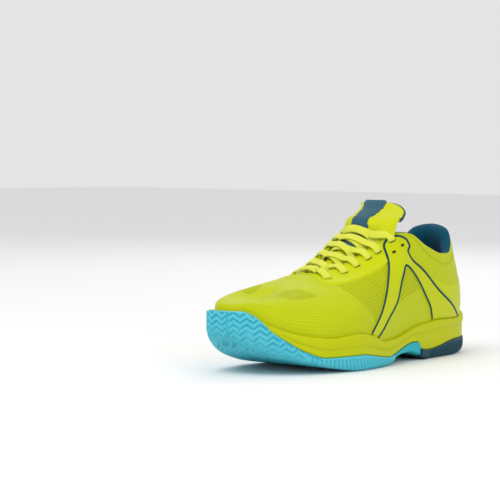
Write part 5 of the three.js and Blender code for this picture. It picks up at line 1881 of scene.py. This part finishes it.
@dataclass
class Tongue:
    """Padded tongue with its webbing strip and edge binding. Sizes are in millimetres."""

    form: Form
    pad: float = 5.5
    strip_width: float = 16.0
    strip_high: float = 1.0
    fold_start: float = 104.0
    fold_end: float = 120.0
    reach: float = 1.04
    columns: int = 261

    def __post_init__(self) -> None:
        """Sets the stations along the tongue: places on its fixed part, then on its free end."""
        self.base = np.array([0.322, 0.35, 0.38, 0.41, 0.44, 0.47, 0.5, 0.53, 0.553])
        self.free = np.array([0.16, 0.3, 0.45, 0.6, 0.72, 0.83, 0.92, 1.0])
        spine = np.concatenate([self.form.tongue(0.0, self.base), self.form.tab(0.0, self.free)])
        self.knots = travel(spine)
        self.length = self.knots[-1]
        places = np.linspace(-self.reach, self.reach, self.columns)
        self.keys = np.concatenate([
            self.form.tongue(places, self.base[:, None]), self.form.tab(places, self.free[:, None]),
        ])
        self.slope = np.gradient(self.keys, self.knots, axis=0)

    def face(self, w: Array, run: Array) -> Array:
        """Returns front-face points for places across (w) by lengths along the spine (run).

        Args:
            w: Places across the tongue, -1 to 1.
            run: Lengths along, in millimetres.

        Returns:
            Points of the front face.
        """
        w, run = matched(w, run)
        i = np.clip(np.searchsorted(self.knots, run, "right") - 1, 0, len(self.knots) - 2)
        span = (self.knots[i + 1] - self.knots[i])[..., None]
        f = (run - self.knots[i])[..., None] / span
        last = self.columns - 1
        column = np.clip((w + self.reach) / (2 * self.reach) * last, 0, last - 0.001)
        j = column.astype(int)
        share = (column - j)[..., None]

        def at(table: Array, row: Array) -> Array:
            """Returns a table's values between two columns."""
            return lerp(table[row, j], table[row, j + 1], share)

        ends = at(self.keys, i), at(self.slope, i), at(self.keys, i + 1), at(self.slope, i + 1)
        return hermite(f, span, *ends)

    def normal(self, w: Array, run: Array) -> Array:
        """Returns the outward direction of the front face."""
        across = self.face(w + 0.02, run) - self.face(w - 0.02, run)
        along = self.face(w, run + 0.8) - self.face(w, run - 0.8)
        return unit(np.cross(across, along))

    def run_at(self, s: float) -> float:
        """Returns the length along the spine at a place on the fixed part."""
        known = self.knots[: len(self.base)]
        rate = 0.4 * (known[-1] - known[-2]) / (self.base[-1] - self.base[-2])
        return float(np.interp(s, self.base, known)) + rate * max(s - self.base[-1], 0)

    def fold(self, piece: bpy.types.Object, replaces: Sequence[str]) -> None:
        """Bakes a piece's transform into its mesh and hides the nodes it stands for.

        Args:
            piece: The piece.
            replaces: The CAD nodes it stands for.
        """
        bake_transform(piece)
        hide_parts(*replaces)
        log.info("%s: %d faces, bends at the fold", piece.name, len(piece.data.polygons))

    def padded_body(self) -> None:
        """Makes the padded tongue, its edges rounded and its front softly quilted."""
        turn = np.linspace(-np.pi / 2, np.pi / 2, 61)
        w = np.sin(turn)[None]
        tip = np.sin(np.linspace(0, np.pi / 2, 14))
        run = np.concatenate([np.linspace(0, self.length - 8, 130)[:-1], self.length - 8 + 8 * tip])[:, None]
        front, out = self.face(w, run), self.normal(w, run)
        round_side = (1 - np.abs(w) ** 6) ** 0.5
        near_tip = np.clip((run - (self.length - 6)) / 6, 0, 1)
        profile = (round_side * (1 - near_tip**4) ** 0.5)[..., None]
        half = self.pad / 2
        quilt = 0.25 * np.cos(w * 9.0)[..., None] * profile
        outer = front - out * half * (1 - profile) + out * quilt
        inner = front - out * half * (1 + profile)
        piece = shell("tongue_pad", outer, inner, [TONGUE_KNIT, LINING], "bottom left right top", weld=0.02)
        nodes = ["tongue_base", "tongue_base_lining", "tongue_top", "tongue_top_lining"]
        self.fold(piece, nodes)

    def strip(self) -> None:
        """Makes the webbing down the middle, with wavy woven edges."""
        run = np.linspace(self.run_at(0.487), self.length - 0.6, 150)[:, None]
        shares = np.linspace(-1, 1, 25)[None]
        width = np.linalg.norm(self.face(0.3, run) - self.face(-0.3, run), axis=-1) / 0.6
        wave = 0.55 * np.sin(run * 0.75) * np.sin(run * 0.31 + 1.0) + 0.3 * np.sin(run * 1.9)
        flare = 3.0 * smooth(run, self.length - 30, self.length)
        half = (self.strip_width / 2 + wave + flare) / width
        w = shares * half
        out = self.normal(w, run)
        front = self.face(w, run)
        crown = (1 - shares**8)[..., None]
        outer = front + out * (0.3 + self.strip_high * 0.8 * crown)
        piece = shell("tongue_webbing", outer, front - out * 0.2, [WEBBING])
        self.fold(piece, ["tongue_strip_lower", "tongue_strip_upper"])

    def binding(self) -> None:
        """Makes the tape folded round the free end's edge."""
        rise = np.linspace(self.knots[len(self.base)] + 2.0, self.length - 1.0, 26)
        across = np.linspace(0.9, -0.9, 21)
        w = np.concatenate([np.full_like(rise, 0.985), across, np.full_like(rise, -0.985)])
        run = np.concatenate([rise, np.full_like(across, self.length - 0.4), rise[::-1]])
        middle = self.face(w, run) - self.normal(w, run) * self.pad / 2
        at, place = resample(middle, 1.0)
        ups = unit(between(place, np.arange(len(w)), self.normal(w, run)))
        turn = circle(14)
        section = np.stack([np.cos(turn) * 1.6, np.sin(turn) * 0.9], -1)
        piece = sweep("tongue_edge_binding", strap_rings(at, ups, section), [BINDING])
        self.fold(piece, ["tongue_binding"])

    def build(self) -> None:
        """Makes the tongue's pieces."""
        self.padded_body()
        self.strip()
        self.binding()


def eased(rows: Array, window: int, times: int) -> Array:
    """Returns a row of points or directions with each one replaced by the mean of its neighbours."""
    for _ in range(times):
        padded = np.pad(rows, ((window // 2, window // 2), (0, 0)), "edge")
        rows = np.mean([padded[k:k + len(rows)] for k in range(window)], axis=0)
    return rows


@dataclass
class Lacing:
    """One flat lace through six pairs of slots, its ends tucked inside. Sizes are in millimetres."""

    form: Form
    tongue: Tongue
    width: float = 6.8
    thickness: float = 1.9
    over: float = 2.0
    under: float = -2.9
    turn: float = 1.1
    hover_low: float = 2.3
    hover_high: float = 4.2
    bar_hover: float = 6.4

    def at_eyelet(self, eyelet: tuple, side: int, to_throat: float, height: float) -> tuple[Array, Array]:
        """Returns a station at an eyelet: its point and the direction across the lace."""
        u, v = np.float64(side * eyelet[0]), np.float64(eyelet[1])
        out, up, along = self.form.axes(u, v)
        return self.form.skin(u, v) + up * to_throat + out * height, along

    def through(self, eyelet: tuple, side: int, direction: int) -> list:
        """Returns the stations down through an eyelet; direction is +1 towards the throat.

        Args:
            eyelet: The eyelet's place (s, v).
            side: +1 lateral, -1 medial.
            direction: +1 towards the throat, -1 away from it.

        Returns:
            The stations, in order.
        """
        diagonal = self.turn * math.sqrt(0.5)
        top, bottom = self.over - self.turn, self.under + self.turn
        places = [
            (self.turn, self.over), (self.turn - diagonal, top + diagonal), (0, top), (0, bottom),
            (direction * (self.turn - diagonal), bottom - diagonal), (direction * self.turn, self.under),
        ]
        return [self.at_eyelet(eyelet, side, *place) for place in places]

    def on_tongue(self, w: float, s: float, hover: float) -> tuple[Array, Array]:
        """Returns a station over the tongue."""
        run = self.tongue.run_at(s)
        across = unit(self.tongue.face(w, run + 2.0) - self.tongue.face(w, run - 2.0))
        return self.tongue.face(w, run) + self.tongue.normal(w, run) * hover, across

    def on_skin(self, side: int, s: float, v: float, lift: float) -> tuple[Array, Array]:
        """Returns a station over or under the upper."""
        u = np.float64(side * s)
        along = self.form.axes(u, np.float64(min(v, 0.99)))[2]
        return self.form.skin_point(u, np.float64(v), np.float64(lift)), along

    def crossing(self, side: int, from_s: float, to_s: float, hover: float) -> list:
        """Returns the stations from under one flap, across the tongue and over the other flap.

        Args:
            side: Side that the lace comes from.
            from_s: Place of the eyelet it leaves.
            to_s: Place of the eyelet it goes to.
            hover: Height over the tongue in the middle.

        Returns:
            The stations, in order.
        """
        leave = lerp(from_s, to_s, 0.45)
        path = [
            self.on_skin(side, lerp(from_s, leave, 0.5), 0.97, self.under),
            self.on_skin(side, leave, 1, self.under - 0.1),
        ]
        heights = (
            (0.5, 1.4), (0.4, 1.9), (0.28, hover), (0.14, hover), (0, hover), (-0.14, hover), (-0.28, hover),
            (-0.42, 4.4),
        )
        for w, height in heights:
            path.append(self.on_tongue(side * w, lerp(leave, to_s, (0.6 - w) / 1.2), height))
        for v, lift in ((1, 0.3), (0.985, 0.1)):
            path.append(self.on_skin(-side, to_s, v, self.over + lift))
        return path

    def half(self, start: int) -> list:
        """Returns the stations of half of the lace, from the middle of the bar to its hidden end.

        Args:
            start: Side of the first eyelet, +1 or -1.

        Returns:
            The stations, in order.
        """
        side, first = start, LACED_EYELETS[0]
        path = [
            self.on_tongue(side * 0.2, first[0], self.bar_hover),
            self.on_tongue(side * 0.42, first[0], self.bar_hover + 1),
            self.on_skin(side, first[0], 1, self.over + 1.2),
            self.on_skin(side, first[0], 0.95, self.over + 0.8),
            *self.through(first, side, 1),
        ]
        hover = self.hover_high if start > 0 else self.hover_low
        for before, eyelet in zip(LACED_EYELETS, LACED_EYELETS[1:]):
            path += self.crossing(side, before[0], eyelet[0], hover)
            side = -side
            path += self.through(eyelet, side, 1 if eyelet is not LACED_EYELETS[-1] else -1)
        last = LACED_EYELETS[-1][0]
        for back, v in ((0.004, 0.86), (0.008, 0.78), (0.012, 0.7), (0.016, 0.62), (0.02, 0.56)):
            path.append(self.on_skin(side, last - back, v, self.under - (1.9 if v < 0.6 else 0)))
        return path

    def build(self) -> None:
        """Makes the lace; its two tips keep their CAD shape."""
        stations = self.half(1)[::-1] + self.half(-1)
        points = np.array([point for point, _ in stations])
        across = np.array([direction for _, direction in stations])
        at, place = resample(points, 0.8)
        across = between(place, np.arange(len(points)), across)
        at, across = eased(at, 5, 2), eased(across, 11, 2)
        section = flat_section(self.width, self.thickness, 18)
        piece = sweep("flat_lace", strap_rings(at, across, section), [LACE_BRAID])
        settle(piece, Body.SHOE, ["lace"])
        log.info("lace: %.0f mm long between its tips", travel(at)[-1])
        for name in ("lace_tip_lateral", "lace_tip_medial"):
            dress(name, TIP_PLASTIC)


# ------------------------------------------------------------------ the whole shoe


def main() -> None:
    """Builds the studio and every sub-assembly of the shoe, in order."""
    logging.basicConfig(level=logging.INFO, format="%(name)s: %(message)s")
    Studio().build()
    SoleUnit(FORM).build()
    Upper(FORM).build()
    Overlays(FORM).build()
    Collar(FORM).build()
    Footbed(FORM).build()
    tongue = Tongue(FORM)
    tongue.build()
    Lacing(FORM, tongue).build()


if __name__ == "__main__":
    main()
